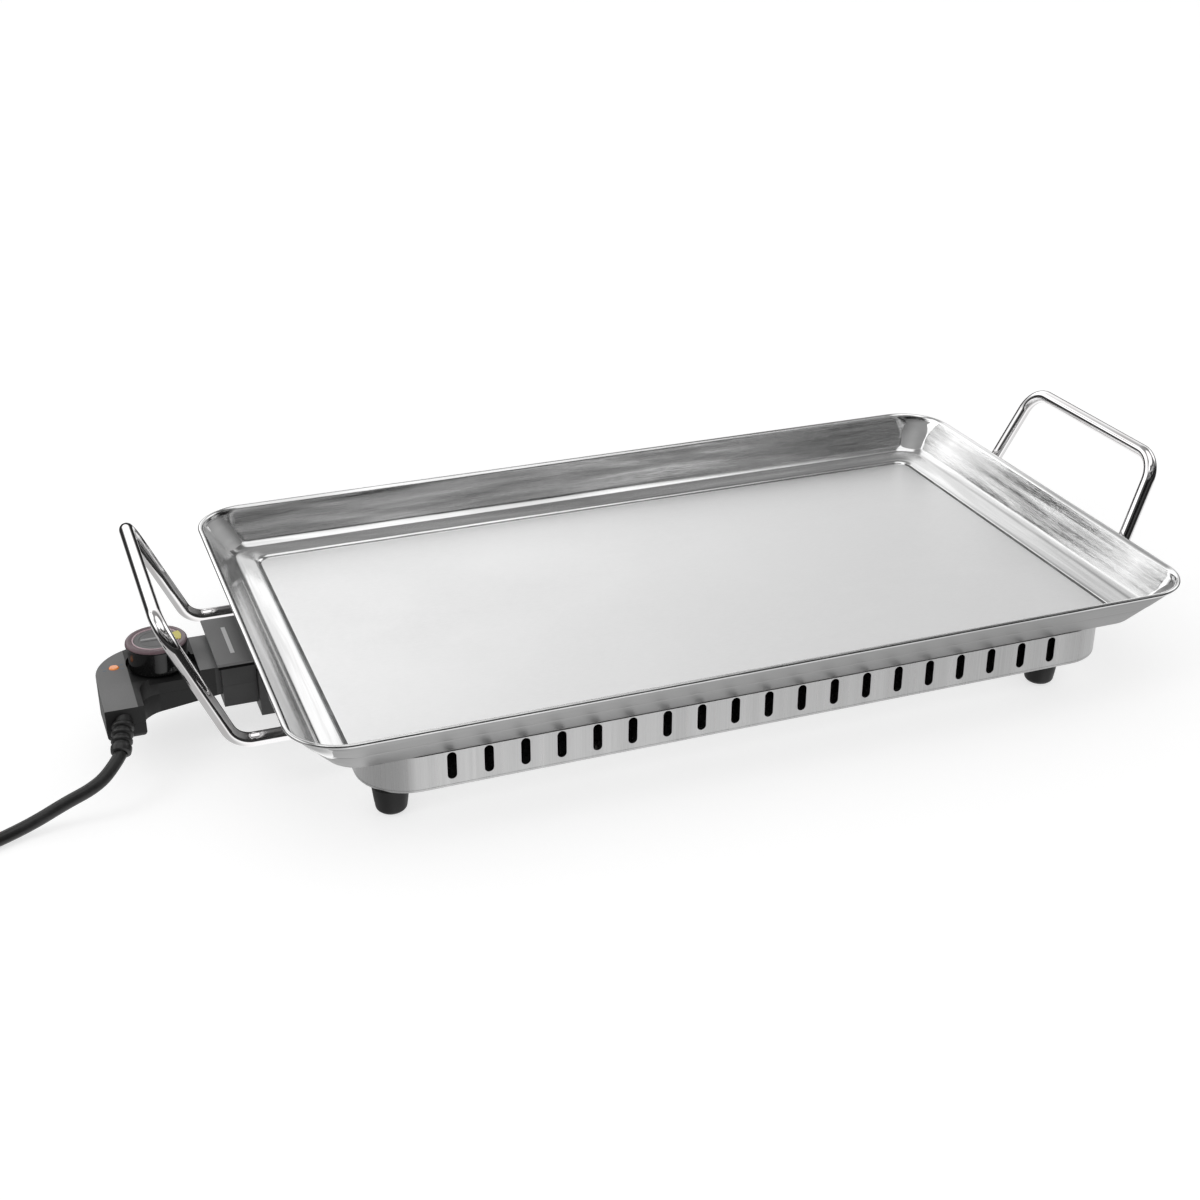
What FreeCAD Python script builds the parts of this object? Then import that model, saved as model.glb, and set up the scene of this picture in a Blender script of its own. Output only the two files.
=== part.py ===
import FreeCAD, Part
import math
import os

# Electric griddle. Millimetres, +Z up, +X to the right along the griddle, +Y to the back.
# The pieces are drawn about the centre of the cooking tray, with Z = 0 on the table. save() then
# moves them along X, so that the origin of the row is the centre of the four feet on the table.

V = FreeCAD.Vector

# ---------------------------------------------------------------- driving dimensions
SHEET = 0.8

# heights above the table
RIM_TOP = 65.0
WALL_FOOT = 44.0
LEDGE_FOOT = 40.9
FLOOR_TOP = 40.3
UNDER_TRAY_BOTTOM = 37.0
BASE_BOTTOM = 16.0
COVER_TOP = 17.2
SKIRT_BOTTOM = 17.35

# cooking tray, half sizes to the crest of the rim
RIM_HALF_X = 265.0
RIM_HALF_Y = 157.9
RIM_RADIUS = 30.0
BEAD_RADIUS = 2.3
FLOOR_SHEET = 0.9
WALL_INSET = 17.0
LEDGE_INSET = 30.8
FLOOR_INSET = 31.4

# base
BASE_HALF_X = 228.0
BASE_HALF_Y = 138.0
BASE_RADIUS = 30.0
SLOT_COUNT = 19
SLOT_PITCH = 20.28
SLOT_WIDTH = 5.2
SLOT_BOTTOM = 20.4
SLOT_TOP = 36.5

# feet
FOOT_X_LEFT = -212.5
FOOT_X_RIGHT = 187.5
FOOT_Y = 123.0
FOOT_TOP_RADIUS = 10.2
FOOT_BOTTOM_RADIUS = 8.4
FOOT_ROUNDING = 2.2
FOOT_ENTRY_RADIUS = 4.2
FOOT_ENTRY_DEPTH = 6.0
FOOT_SEAT = 9.5
M4_RADIUS = 2.0

# handles: bent wire, threaded ends held in the end walls
WIRE_RADIUS = 4.0
LEG_Y = 78.0
LEG_Z = 30.5
LEG_END = 206.0
BEND_RADIUS = 14.0
GRIP_RADIUS = 17.0
# side: bend x, grip x, grip half length, grip height
HANDLES = {"left": (-284.0, -316.0, 71.5, 101.5), "right": (262.5, 296.5, 67.0, 106.0)}
STIFFENER = 1.5
NUT_ACROSS_FLATS = 11.0
NUT_HEIGHT = 5.0

# heating
PLATE_HALF_X = 205.0
PLATE_HALF_Y = 100.0
PLATE_TOP = 39.3
PLATE_BOTTOM = 36.3
ELEMENT_RADIUS = 3.3
ELEMENT_Z = 32.9
ELEMENT_BEND = 18.0
ELEMENT_END_X = -222.0
SHIELD_HALF_X = 200.0
SHIELD_HALF_Y = 105.0
SHIELD_BOTTOM = 21.2
SHIELD_TOP = 34.0

# inlet at the left end
PIN_Y = 12.0
PIN_Z = 32.9
PIN_RADIUS = 3.0
PIN_TIP = -279.0
HOUSING_FACE = -262.0
HOUSING_HALF_Y = 29.5
HOUSING_TOP = 45.0
HOOD_LEFT = -283.6
HOOD_TOP = 51.7
HOOD_THICK = 1.5
BUSH_RADIUS = 4.0

# thermostat
CASE_TOP = 46.3
CASE_SPLIT = 36.0
CASE_BOTTOM = 24.1
CASE_WALL = 2.0
ARM_HALF_Y = 21.0
ARM_RIGHT = -281.3
TAIL_LEFT = -347.2
TAIL_RIGHT = -326.5
TAIL_END = -50.0
CORNER_RADIUS = 31.0
INNER_FILLET = 11.0
HEAD_FACE = -262.3
HEAD_HALF_Y = 25.0
HEAD_TOP = 48.5
HEAD_BOTTOM = 23.0
WELL_LEFT = -329.5
WELL_RIGHT = -292.5
WELL_FLOOR = 42.5
WELL_REAR_RADIUS = 17.9
PROBE_Z = 32.2
PROBE_RADIUS = 3.0
PROBE_TIP = -170.0
PROBE_REAR = -283.0

# knob
KNOB_X = -312.0
KNOB_RADIUS = 17.1
KNOB_FOOT_RADIUS = 16.2
KNOB_BOTTOM = 44.0
KNOB_SHOULDER = 58.2
KNOB_TOP = 60.0
SHAFT_RADIUS = 3.0

# lead
CORD_RADIUS = 3.5
RELIEF_START = V(-338.4, -50.0, 37.9)
CORD_ROUTE = [
    V(-342.6, -66.0, 29.0),
    V(-350.0, -76.0, 24.5),
    V(-360.0, -81.0, 20.0),
    V(-374.0, -80.0, 14.0),
    V(-393.0, -79.5, 4.5),
    V(-419.0, -91.5, 3.5),
    V(-449.0, -91.5, 3.5),
]
COIL_CENTRE = V(-476.0, -46.0, 0.0)
COIL_INNER = 27.5
COIL_OUTER = 50.0
COIL_HEIGHT = 14.2
TAIL_ROUTE = [V(-518.0, -24.0, 10.7), V(-518.0, -8.0, 12.4), V(-518.0, 8.0, 18.0)]
PLUG_RADIUS = 18.0
PLUG_BODY_START = 36.0
PLUG_BODY_END = 74.0
PLUG_PIN_LENGTH = 19.0
PLUG_PIN_RADIUS = 2.4
PLUG_PIN_SPACING = 19.0

FEET = {
    "foot_front_left": (FOOT_X_LEFT, -FOOT_Y),
    "foot_front_right": (FOOT_X_RIGHT, -FOOT_Y),
    "foot_rear_left": (FOOT_X_LEFT, FOOT_Y),
    "foot_rear_right": (FOOT_X_RIGHT, FOOT_Y),
}
ORIGIN_X = (FOOT_X_LEFT + FOOT_X_RIGHT) / 2


# ---------------------------------------------------------------- building blocks
def box(x0, x1, y0, y1, z0, z1):
    return Part.makeBox(x1 - x0, y1 - y0, z1 - z0, V(x0, y0, z0))


def rod(start, end, radius):
    return Part.makeCylinder(radius, (end - start).Length, start, end - start)


def ring(start, end, outer, inner):
    return rod(start, end, outer).cut(rod(start, end, inner))


def rounded_wire(half_x, half_y, radius, z):
    """A rectangle with round corners about the Z axis."""
    edges = []
    corners = [(1, -1, -90), (1, 1, 0), (-1, 1, 90), (-1, -1, 180)]
    arcs = []
    for side_x, side_y, start in corners:
        centre = V(side_x * (half_x - radius), side_y * (half_y - radius), z)
        turn = [math.radians(start + step) for step in (0, 45, 90)]
        arcs.append([centre + V(radius * math.cos(a), radius * math.sin(a), 0) for a in turn])
    for index, arc in enumerate(arcs):
        following = arcs[(index + 1) % 4]
        edges.append(Part.Arc(*arc).toShape())
        edges.append(Part.LineSegment(arc[2], following[0]).toShape())
    return Part.Wire(edges)


def rounded_block(half_x, half_y, radius, z0, z1):
    face = Part.Face(rounded_wire(half_x, half_y, radius, z0))
    return face.extrude(V(0, 0, z1 - z0))


def tapered_block(levels):
    """A solid through rounded rectangles, each (half x, half y, radius, z)."""
    return Part.makeLoft([rounded_wire(*level) for level in levels], True, True)


def bent_path(points, radii):
    """Straight runs joined by tangent arcs, one radius for each inner point."""
    edges = []
    start = points[0]
    for index in range(1, len(points) - 1):
        corner = points[index]
        back = (points[index - 1] - corner).normalize()
        ahead = (points[index + 1] - corner).normalize()
        half = back.getAngle(ahead) / 2
        reach = radii[index - 1] / math.tan(half)
        first = corner + back * reach
        last = corner + ahead * reach
        middle = (back + ahead).normalize()
        centre = corner + middle * (radii[index - 1] / math.sin(half))
        edges.append(Part.LineSegment(start, first).toShape())
        edges.append(Part.Arc(first, centre - middle * radii[index - 1], last).toShape())
        start = last
    edges.append(Part.LineSegment(start, points[-1]).toShape())
    return Part.Wire(edges)


def cord_radii(points):
    """Each arc as large as its two runs allow."""
    radii = []
    for before, corner, after in zip(points, points[1:], points[2:]):
        turn = (corner - before).getAngle(after - corner)
        shorter = min((corner - before).Length, (after - corner).Length)
        radii.append(0.45 * shorter / math.tan(turn / 2))
    return radii


def swept_rod(path, radius):
    first = path.OrderedEdges[0]
    start = first.valueAt(first.FirstParameter)
    section = Part.Wire(Part.makeCircle(radius, start, first.tangentAt(first.FirstParameter)))
    return path.makePipeShell([section], True, False)


def hexagon(start, axis, across_flats, height, hole):
    nut = Part.Face(Part.makePolygon([
        V(across_flats / math.sqrt(3) * math.cos(math.radians(60 * k)),
          across_flats / math.sqrt(3) * math.sin(math.radians(60 * k)), 0) for k in range(7)
    ])).extrude(V(0, 0, height))
    nut = nut.cut(Part.makeCylinder(hole, height))
    nut.Placement = FreeCAD.Placement(start, FreeCAD.Rotation(V(0, 0, 1), axis))
    return nut


def pan_screw(seat, axis, shank_radius, length, head_radius, head_height):
    """A pan-head screw: its head stands on the seat, against the axis of its shank."""
    shank = Part.makeCylinder(shank_radius, length, seat, axis)
    head = Part.makeCylinder(head_radius, head_height, seat, axis * -1)
    drive = Part.makeCylinder(head_radius * 0.4, head_height * 0.5, seat - axis * head_height, axis)
    return shank.fuse(head).cut(drive).removeSplitter()


def group(solids):
    return Part.makeCompound(list(solids))


def extruded_outline(points, thickness):
    return Part.Face(Part.makePolygon(points + [points[0]])).extrude(thickness)


# ---------------------------------------------------------------- tray
def inset_level(inset, radius, z):
    return (RIM_HALF_X - inset, RIM_HALF_Y - inset, radius, z)


def cooking_tray():
    """Pressed sheet: rolled rim, sloping wall, ledge, and the floor one small step down."""
    sheet = FLOOR_SHEET
    outside = tapered_block([
        inset_level(FLOOR_INSET - sheet, 9.0, FLOOR_TOP - sheet),
        inset_level(LEDGE_INSET - sheet, 10.0, LEDGE_FOOT - sheet),
        inset_level(WALL_INSET - sheet, 21.0, WALL_FOOT - sheet),
        inset_level(0.5, 30.0, RIM_TOP - BEAD_RADIUS),
    ])
    inside = tapered_block([
        inset_level(FLOOR_INSET, 8.0, FLOOR_TOP),
        inset_level(LEDGE_INSET, 9.0, LEDGE_FOOT),
        inset_level(WALL_INSET, 20.0, WALL_FOOT),
        inset_level(1.6, 28.5, RIM_TOP - BEAD_RADIUS + 0.2),
    ])
    crest = rounded_wire(RIM_HALF_X, RIM_HALF_Y, RIM_RADIUS, RIM_TOP - BEAD_RADIUS)
    return outside.cut(inside).fuse(swept_rod(crest, BEAD_RADIUS)).removeSplitter()


def under_tray_block(grow):
    """The outer form of the lower pressing, grown all round by a clearance."""
    return tapered_block([
        (245.0 + grow, 137.9 + grow, 18.0, UNDER_TRAY_BOTTOM - grow),
        (264.6 + grow, 157.5 + grow, 30.0, 60.2 + grow),
    ])


def under_tray():
    inside = tapered_block([
        (244.7, 137.6, 17.8, UNDER_TRAY_BOTTOM + SHEET),
        (264.1, 157.0, 29.4, 60.3),
    ])
    opening = rounded_block(215.0, 108.0, 12.0, UNDER_TRAY_BOTTOM - 1, UNDER_TRAY_BOTTOM + 2)
    return under_tray_block(0).cut(inside).cut(opening)


# ---------------------------------------------------------------- base
def slot_cutter(x, side):
    y = side * BASE_HALF_Y
    radius = SLOT_WIDTH / 2
    cutter = box(x - radius, x + radius, y - 1.5, y + 1.5, SLOT_BOTTOM + radius, SLOT_TOP - radius)
    for z in (SLOT_BOTTOM + radius, SLOT_TOP - radius):
        cutter = cutter.fuse(rod(V(x, y - 1.5, z), V(x, y + 1.5, z), radius))
    return cutter


COVER_SCREWS = [(x, side * (BASE_HALF_Y - 7.0)) for x in (-100.0, 0.0, 100.0) for side in (-1, 1)]


def base_skirt():
    """A band of sheet with slots front and back, holes for handles and inlet, and screw tabs."""
    inner = BASE_RADIUS - SHEET
    skirt = rounded_block(BASE_HALF_X, BASE_HALF_Y, BASE_RADIUS, SKIRT_BOTTOM, UNDER_TRAY_BOTTOM)
    skirt = skirt.cut(
        rounded_block(BASE_HALF_X - SHEET, BASE_HALF_Y - SHEET, inner, BASE_BOTTOM, UNDER_TRAY_BOTTOM + 1)
    )
    for x, y in COVER_SCREWS:
        side = math.copysign(1, y)
        reach = sorted([side * (BASE_HALF_Y - 12.0), side * (BASE_HALF_Y - SHEET / 2)])
        skirt = skirt.fuse(box(x - 6, x + 6, reach[0], reach[1], SKIRT_BOTTOM, SKIRT_BOTTOM + 1.2))
    holes = [rod(V(x, y, BASE_BOTTOM), V(x, y, 20), 1.52) for x, y in COVER_SCREWS]
    first = -(SLOT_COUNT - 1) / 2 * SLOT_PITCH
    for index in range(SLOT_COUNT):
        holes += [slot_cutter(first + index * SLOT_PITCH, side) for side in (-1, 1)]
    for end in (-1, 1):
        for y in (-LEG_Y, LEG_Y):
            holes.append(rod(V(end * 226, y, LEG_Z), V(end * 230, y, LEG_Z), WIRE_RADIUS + 0.2))
    for y in (-PIN_Y, PIN_Y):
        half = BUSH_RADIUS + 0.1
        holes.append(rod(V(-230, y, PIN_Z), V(-226, y, PIN_Z), half))
        holes.append(box(-230, -226, y - half, y + half, PIN_Z, UNDER_TRAY_BOTTOM + 1))
        holes.append(rod(V(-230, 2 * y, 21), V(-226, 2 * y, 21), M4_RADIUS + 0.2))
    holes.append(rod(V(-230, 0, PROBE_Z), V(-226, 0, PROBE_Z), 4.3))
    return skirt.cut(group(holes)).removeSplitter()


def bottom_cover():
    plate = rounded_block(BASE_HALF_X, BASE_HALF_Y, BASE_RADIUS, BASE_BOTTOM, COVER_TOP)
    holes = [rod(V(x, y, 15), V(x, y, 18), M4_RADIUS + 0.2) for x, y in FEET.values()]
    holes += [rod(V(x, y, 15), V(x, y, 18), 1.7) for x, y in COVER_SCREWS]
    for column in range(-4, 5):
        for row in (-1, 1):
            x = column * 34.0
            holes.append(box(x - 2, x + 2, row * 45.0 - 20, row * 45.0 + 20, 15, 18))
    return plate.cut(group(holes))


def foot(x, y):
    """A tapered rubber foot: free entry bore, narrower pocket for the screw head, screw hole."""
    body = Part.makeCone(FOOT_BOTTOM_RADIUS, FOOT_TOP_RADIUS, BASE_BOTTOM, V(x, y, 0))
    rim_edge = [e for e in body.Edges if e.BoundBox.ZMax < 0.01 and len(e.Vertexes) == 1]
    body = body.makeFillet(FOOT_ROUNDING, rim_edge)
    body = body.cut(Part.makeCylinder(FOOT_ENTRY_RADIUS, FOOT_ENTRY_DEPTH, V(x, y, 0)))
    body = body.cut(Part.makeCylinder(3.7, FOOT_SEAT, V(x, y, 0)))
    return body.cut(Part.makeCylinder(M4_RADIUS + 0.1, BASE_BOTTOM, V(x, y, 0)))


def foot_screws():
    seats = [V(x, y, FOOT_SEAT) for x, y in FEET.values()]
    return group(pan_screw(seat, V(0, 0, 1), M4_RADIUS, 20.0, 3.5, 2.6) for seat in seats)


def corner_posts():
    posts = []
    for x, y in FEET.values():
        post = Part.makeCylinder(6.0, UNDER_TRAY_BOTTOM - COVER_TOP, V(x, y, COVER_TOP))
        posts.append(post.cut(Part.makeCylinder(M4_RADIUS + 0.02, 14.0, V(x, y, COVER_TOP))))
    return group(posts)


def cover_screws():
    seats = [V(x, y, BASE_BOTTOM) for x, y in COVER_SCREWS]
    return group(pan_screw(seat, V(0, 0, 1), 1.5, 6.0, 2.8, 1.5) for seat in seats)


# ---------------------------------------------------------------- handles
def handle(side):
    bend_x, grip_x, grip_y, grip_z = HANDLES[side]
    end_x = math.copysign(LEG_END, bend_x)
    points = [
        V(end_x, -LEG_Y, LEG_Z),
        V(bend_x, -LEG_Y, LEG_Z),
        V(grip_x, -grip_y, grip_z),
        V(grip_x, grip_y, grip_z),
        V(bend_x, LEG_Y, LEG_Z),
        V(end_x, LEG_Y, LEG_Z),
    ]
    radii = [BEND_RADIUS, GRIP_RADIUS, GRIP_RADIUS, BEND_RADIUS]
    return swept_rod(bent_path(points, radii), WIRE_RADIUS)


def handle_stiffener(end):
    """A plate inside the end wall that spreads the load of the handle."""
    near = end * (BASE_HALF_X - SHEET)
    reach = sorted([near, near - end * STIFFENER])
    plate = box(reach[0], reach[1], -92, 92, 20, 36)
    for y in (-LEG_Y, LEG_Y):
        plate = plate.cut(rod(V(end * 220, y, LEG_Z), V(end * 230, y, LEG_Z), WIRE_RADIUS + 0.2))
    if end < 0:
        plate = plate.cut(box(-230, -220, -34, 34, 24, 40))
        for y in (-PIN_Y, PIN_Y):
            plate = plate.cut(rod(V(-230, 2 * y, 21), V(-220, 2 * y, 21), M4_RADIUS + 0.2))
    return plate


def handle_nuts(start_x):
    nuts = []
    for end in (-1, 1):
        for y in (-LEG_Y, LEG_Y):
            seat = V(end * start_x, y, LEG_Z)
            nut = hexagon(seat, V(end, 0, 0), NUT_ACROSS_FLATS, NUT_HEIGHT, WIRE_RADIUS + 0.02)
            nuts.append(nut)
    return group(nuts)


# ---------------------------------------------------------------- heating
def heating_element():
    """One tubular element in four long runs, with both ends at the inlet."""
    half = [(ELEMENT_END_X, PIN_Y), (-178.0, PIN_Y), (-178.0, 72.0), (165.0, 72.0), (165.0, 26.0), (-140.0, 26.0)]
    corners = half + [(x, -y) for x, y in reversed(half)]
    points = [V(x, y, ELEMENT_Z) for x, y in corners]
    return swept_rod(bent_path(points, [ELEMENT_BEND] * (len(points) - 2)), ELEMENT_RADIUS)


CLAMP_PLACES = [(x, y) for x in (-60.0, 100.0) for y in (-72.0, -26.0, 26.0, 72.0)]


def element_clamp(x, y):
    """A hat-shaped strap over one run, screwed to the plate at its ears."""
    hat = box(x - 4, x + 4, y - 4.6, y + 4.6, 28.5, PLATE_BOTTOM)
    hat = hat.fuse(box(x - 4, x + 4, y - 12, y + 12, PLATE_BOTTOM - 1, PLATE_BOTTOM))
    hat = hat.cut(box(x - 5, x + 5, y - 3.6, y + 3.6, 29.5, 40))
    for side in (-1, 1):
        hat = hat.cut(Part.makeCylinder(1.6, 8, V(x, y + side * 8.5, 32)))
    return hat.removeSplitter()


def clamp_screw_seats():
    return [V(x, y + side * 8.5, PLATE_BOTTOM - 1) for x, y in CLAMP_PLACES for side in (-1, 1)]


def heat_plate():
    plate = rounded_block(PLATE_HALF_X, PLATE_HALF_Y, 10.0, PLATE_BOTTOM, PLATE_TOP)
    holes = [Part.makeCylinder(1.52, 3.4, seat) for seat in clamp_screw_seats()]
    return plate.cut(group(holes))


def clamp_screws():
    return group(pan_screw(seat, V(0, 0, 1), 1.5, 3.2, 2.6, 1.6) for seat in clamp_screw_seats())


def heat_shield():
    outer = rounded_block(SHIELD_HALF_X, SHIELD_HALF_Y, 14.0, SHIELD_BOTTOM, SHIELD_TOP)
    inner = rounded_block(SHIELD_HALF_X - 0.6, SHIELD_HALF_Y - 0.6, 13.4, SHIELD_BOTTOM + 0.6, 40)
    return outer.cut(inner).cut(box(-203, -196, -20, 20, 27, 40))


def insulation_pad():
    return rounded_block(SHIELD_HALF_X - 2, SHIELD_HALF_Y - 2, 12.0, SHIELD_BOTTOM + 0.7, 26.0)


# ---------------------------------------------------------------- inlet
def inlet_housing():
    wall = -BASE_HALF_X - 0.05
    block = box(HOUSING_FACE, wall, -HOUSING_HALF_Y, HOUSING_HALF_Y, BASE_BOTTOM, HOUSING_TOP)
    block = block.cut(under_tray_block(0.3))
    for y in (-PIN_Y, PIN_Y):
        block = block.cut(rod(V(-263, y, PIN_Z), V(-227, y, PIN_Z), PIN_RADIUS + 0.15))
        block = block.cut(rod(V(-233, y, PIN_Z), V(-227, y, PIN_Z), BUSH_RADIUS + 0.05))
        block = block.cut(rod(V(-244, 2 * y, 21), V(-227, 2 * y, 21), M4_RADIUS + 0.02))
    block = block.cut(rod(V(-263, 0, PROBE_Z), V(-227, 0, PROBE_Z), 4.2))
    return block.cut(box(-263, -250, -3.05, 3.05, 40.45, 41.75))


def inlet_hood():
    """A flat cover plate over the plug-in place, on a rib that stands on the housing."""
    plate = box(HOOD_LEFT, -250.0, -HOUSING_HALF_Y, HOUSING_HALF_Y, HOOD_TOP - HOOD_THICK, HOOD_TOP)
    rib = box(-261.8, -250.0, -HOUSING_HALF_Y, HOUSING_HALF_Y, HOUSING_TOP, HOOD_TOP - HOOD_THICK)
    return plate.fuse(rib).cut(under_tray_block(0.3)).removeSplitter()


def inlet_pins():
    pins = []
    for y in (-PIN_Y, PIN_Y):
        pin = rod(V(ELEMENT_END_X, y, PIN_Z), V(PIN_TIP, y, PIN_Z), PIN_RADIUS)
        tip = [e for e in pin.Edges if e.BoundBox.XMax < PIN_TIP + 0.01 and len(e.Vertexes) == 1]
        pins.append(pin.makeFillet(1.4, tip))
    return group(pins)


def inlet_bushes():
    ends = [(V(-232.9, y, PIN_Z), V(-222.2, y, PIN_Z)) for y in (-PIN_Y, PIN_Y)]
    return group(ring(start, end, BUSH_RADIUS, PIN_RADIUS + 0.03) for start, end in ends)


def earth_blade():
    return box(-276.0, -250.5, -3.0, 3.0, 40.5, 41.7)


def inlet_screws():
    seats = [V(-225.7, side * 2 * PIN_Y, 21) for side in (-1, 1)]
    return group(pan_screw(seat, V(-1, 0, 0), M4_RADIUS, 16.0, 3.5, 2.2) for seat in seats)


def probe_guide():
    return ring(V(-227.9, 0, PROBE_Z), V(-160, 0, PROBE_Z), 4.0, 3.3)


# ---------------------------------------------------------------- thermostat
def case_outline(z):
    """The L of the case from above: arm along X, tail towards -Y."""
    bend = V(TAIL_LEFT + CORNER_RADIUS, ARM_HALF_Y - CORNER_RADIUS, z)
    hollow = V(TAIL_RIGHT + INNER_FILLET, -ARM_HALF_Y - INNER_FILLET, z)
    diagonal = V(-math.sqrt(0.5), math.sqrt(0.5), 0)
    fillet_start = hollow + V(0, INNER_FILLET, 0)
    fillet_end = hollow + V(-INNER_FILLET, 0, 0)
    bend_start = bend + V(-CORNER_RADIUS, 0, 0)
    bend_end = bend + V(0, CORNER_RADIUS, 0)
    tail_near = V(TAIL_RIGHT, TAIL_END, z)
    tail_far = V(TAIL_LEFT, TAIL_END, z)
    arm_far = V(ARM_RIGHT, ARM_HALF_Y, z)
    arm_near = V(ARM_RIGHT, -ARM_HALF_Y, z)
    return Part.Wire([
        Part.LineSegment(arm_near, fillet_start).toShape(),
        Part.Arc(fillet_start, hollow + diagonal * INNER_FILLET, fillet_end).toShape(),
        Part.LineSegment(fillet_end, tail_near).toShape(),
        Part.LineSegment(tail_near, tail_far).toShape(),
        Part.LineSegment(tail_far, bend_start).toShape(),
        Part.Arc(bend_start, bend + diagonal * CORNER_RADIUS, bend_end).toShape(),
        Part.LineSegment(bend_end, arm_far).toShape(),
        Part.LineSegment(arm_far, arm_near).toShape(),
    ])


def case_prism(inset, z0, z1):
    outline = case_outline(z0)
    if inset:
        outline = outline.makeOffset2D(-inset)
    return Part.Face(outline).extrude(V(0, 0, z1 - z0))


def belly_wedges(lift):
    """What the sloping underside takes off: under the arm, and under the end of the tail."""
    low = CASE_BOTTOM - 1
    arm = extruded_outline(
        [V(-322, -30, low), V(-260, -30, low), V(-260, -30, 32.2 + lift), V(-322, -30, CASE_BOTTOM + lift)],
        V(0, 60, 0),
    )
    tail = extruded_outline(
        [V(-350, -28, low), V(-350, -52, low), V(-350, -52, 28.2 + lift), V(-350, -28, CASE_BOTTOM + lift)],
        V(26, 0, 0),
    )
    return arm.fuse(tail)


CASE_BOSSES = [(-288.0, -14.5), (-288.0, 14.5), (-337.5, -27.0)]


def relief_axis():
    return (CORD_ROUTE[0] - RELIEF_START).normalize()


def relief_hole():
    axis = relief_axis()
    return Part.makeCylinder(4.75, 30.0, RELIEF_START - axis * 6.0, axis)


def thermostat_top_shell():
    shell = case_prism(0, CASE_SPLIT, CASE_TOP)
    well = box(WELL_LEFT, WELL_RIGHT, -ARM_HALF_Y - 1, 0, WELL_FLOOR, CASE_TOP + 1)
    well = well.fuse(Part.makeCylinder(WELL_REAR_RADIUS, CASE_TOP + 1 - WELL_FLOOR, V(KNOB_X, 0, WELL_FLOOR)))
    roof = box(WELL_LEFT - 2, WELL_RIGHT + 2, -30, 30, WELL_FLOOR - CASE_WALL, CASE_TOP)
    hollow = case_prism(CASE_WALL, CASE_SPLIT, CASE_TOP - CASE_WALL).cut(roof)
    head = box(ARM_RIGHT, HEAD_FACE, -HEAD_HALF_Y, HEAD_HALF_Y, CASE_SPLIT, HEAD_TOP)
    head_hollow = box(
        ARM_RIGHT + 2, HEAD_FACE - 2, -HEAD_HALF_Y + 2, HEAD_HALF_Y - 2, CASE_SPLIT, HEAD_TOP - 2
    )
    shell = shell.cut(well).cut(hollow).fuse(head.cut(head_hollow))
    shell = shell.cut(box(ARM_RIGHT - 3, ARM_RIGHT + 3, -8, 8, CASE_SPLIT, 43.0))
    for x, y in CASE_BOSSES:
        boss = ring(V(x, y, CASE_SPLIT), V(x, y, CASE_TOP - 1), 3.2, 1.27)
        shell = shell.fuse(boss)
    holes = [
        rod(V(KNOB_X, 0, 40), V(KNOB_X, 0, 43), SHAFT_RADIUS + 0.6),
        rod(V(-336.5, -1.3, 44), V(-336.5, -1.3, 47), 2.85),
        box(HEAD_FACE - 3, HEAD_FACE + 1, -3.6, 3.6, 39.9, 42.3),
        relief_hole(),
    ]
    for y in (-PIN_Y, PIN_Y):
        holes.append(rod(V(HEAD_FACE - 3, y, PIN_Z), V(HEAD_FACE + 1, y, PIN_Z), 3.6))
    return shell.cut(group(holes)).removeSplitter()


def thermostat_bottom_shell():
    shell = case_prism(0, CASE_BOTTOM, CASE_SPLIT - 0.05).cut(belly_wedges(0))
    keel = [e for e in shell.Edges if e.BoundBox.ZMax < 28.3 and e.BoundBox.YMax < -27.0]
    shell = shell.makeFillet(3.0, keel)
    hollow = case_prism(CASE_WALL, CASE_BOTTOM + CASE_WALL, CASE_SPLIT + 1).cut(belly_wedges(CASE_WALL))
    head = box(ARM_RIGHT, HEAD_FACE, -HEAD_HALF_Y, HEAD_HALF_Y, HEAD_BOTTOM, CASE_SPLIT - 0.05)
    head_hollow = box(
        ARM_RIGHT + 2, HEAD_FACE - 2, -HEAD_HALF_Y + 2, HEAD_HALF_Y - 2, HEAD_BOTTOM + 2, CASE_SPLIT + 1
    )
    shell = shell.cut(hollow).fuse(head.cut(head_hollow))
    shell = shell.cut(box(ARM_RIGHT - 3, ARM_RIGHT + 3, -8, 8, 28.8, CASE_SPLIT + 1))
    for x, y in CASE_BOSSES:
        post = Part.makeCylinder(3.2, CASE_SPLIT - 0.05 - 31.0, V(x, y, 31.0))
        floor = Part.makeCylinder(3.2, 6.0, V(x, y, 26.0)).common(case_prism(0, 26.0, 34.0))
        shell = shell.fuse(post).fuse(floor.cut(belly_wedges(0.5)))
    holes = [relief_hole(), rod(V(HEAD_FACE - 3, 0, PROBE_Z), V(HEAD_FACE + 1, 0, PROBE_Z), 3.05)]
    for x, y in CASE_BOSSES:
        holes.append(Part.makeCylinder(1.6, 30, V(x, y, 20)))
        holes.append(Part.makeCylinder(2.7, 12.5, V(x, y, 20)))
    for y in (-PIN_Y, PIN_Y):
        holes.append(rod(V(HEAD_FACE - 3, y, PIN_Z), V(HEAD_FACE + 1, y, PIN_Z), 3.6))
    return shell.cut(group(holes)).removeSplitter()


def shell_screws():
    seats = [V(x, y, 32.5) for x, y in CASE_BOSSES]
    return group(pan_screw(seat, V(0, 0, 1), 1.25, 8.0, 2.4, 1.5) for seat in seats)


def probe_tube():
    """A closed stainless tube with a round tip; its rear end sits in the case."""
    tube = rod(V(PROBE_REAR, 0, PROBE_Z), V(PROBE_TIP, 0, PROBE_Z), PROBE_RADIUS)
    tip = [e for e in tube.Edges if e.BoundBox.XMin > PROBE_TIP - 0.01 and len(e.Vertexes) == 1]
    tube = tube.makeFillet(2.4, tip)
    return tube.cut(rod(V(PROBE_REAR, 0, PROBE_Z), V(PROBE_TIP - 4, 0, PROBE_Z), PROBE_RADIUS - 0.5))


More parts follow.
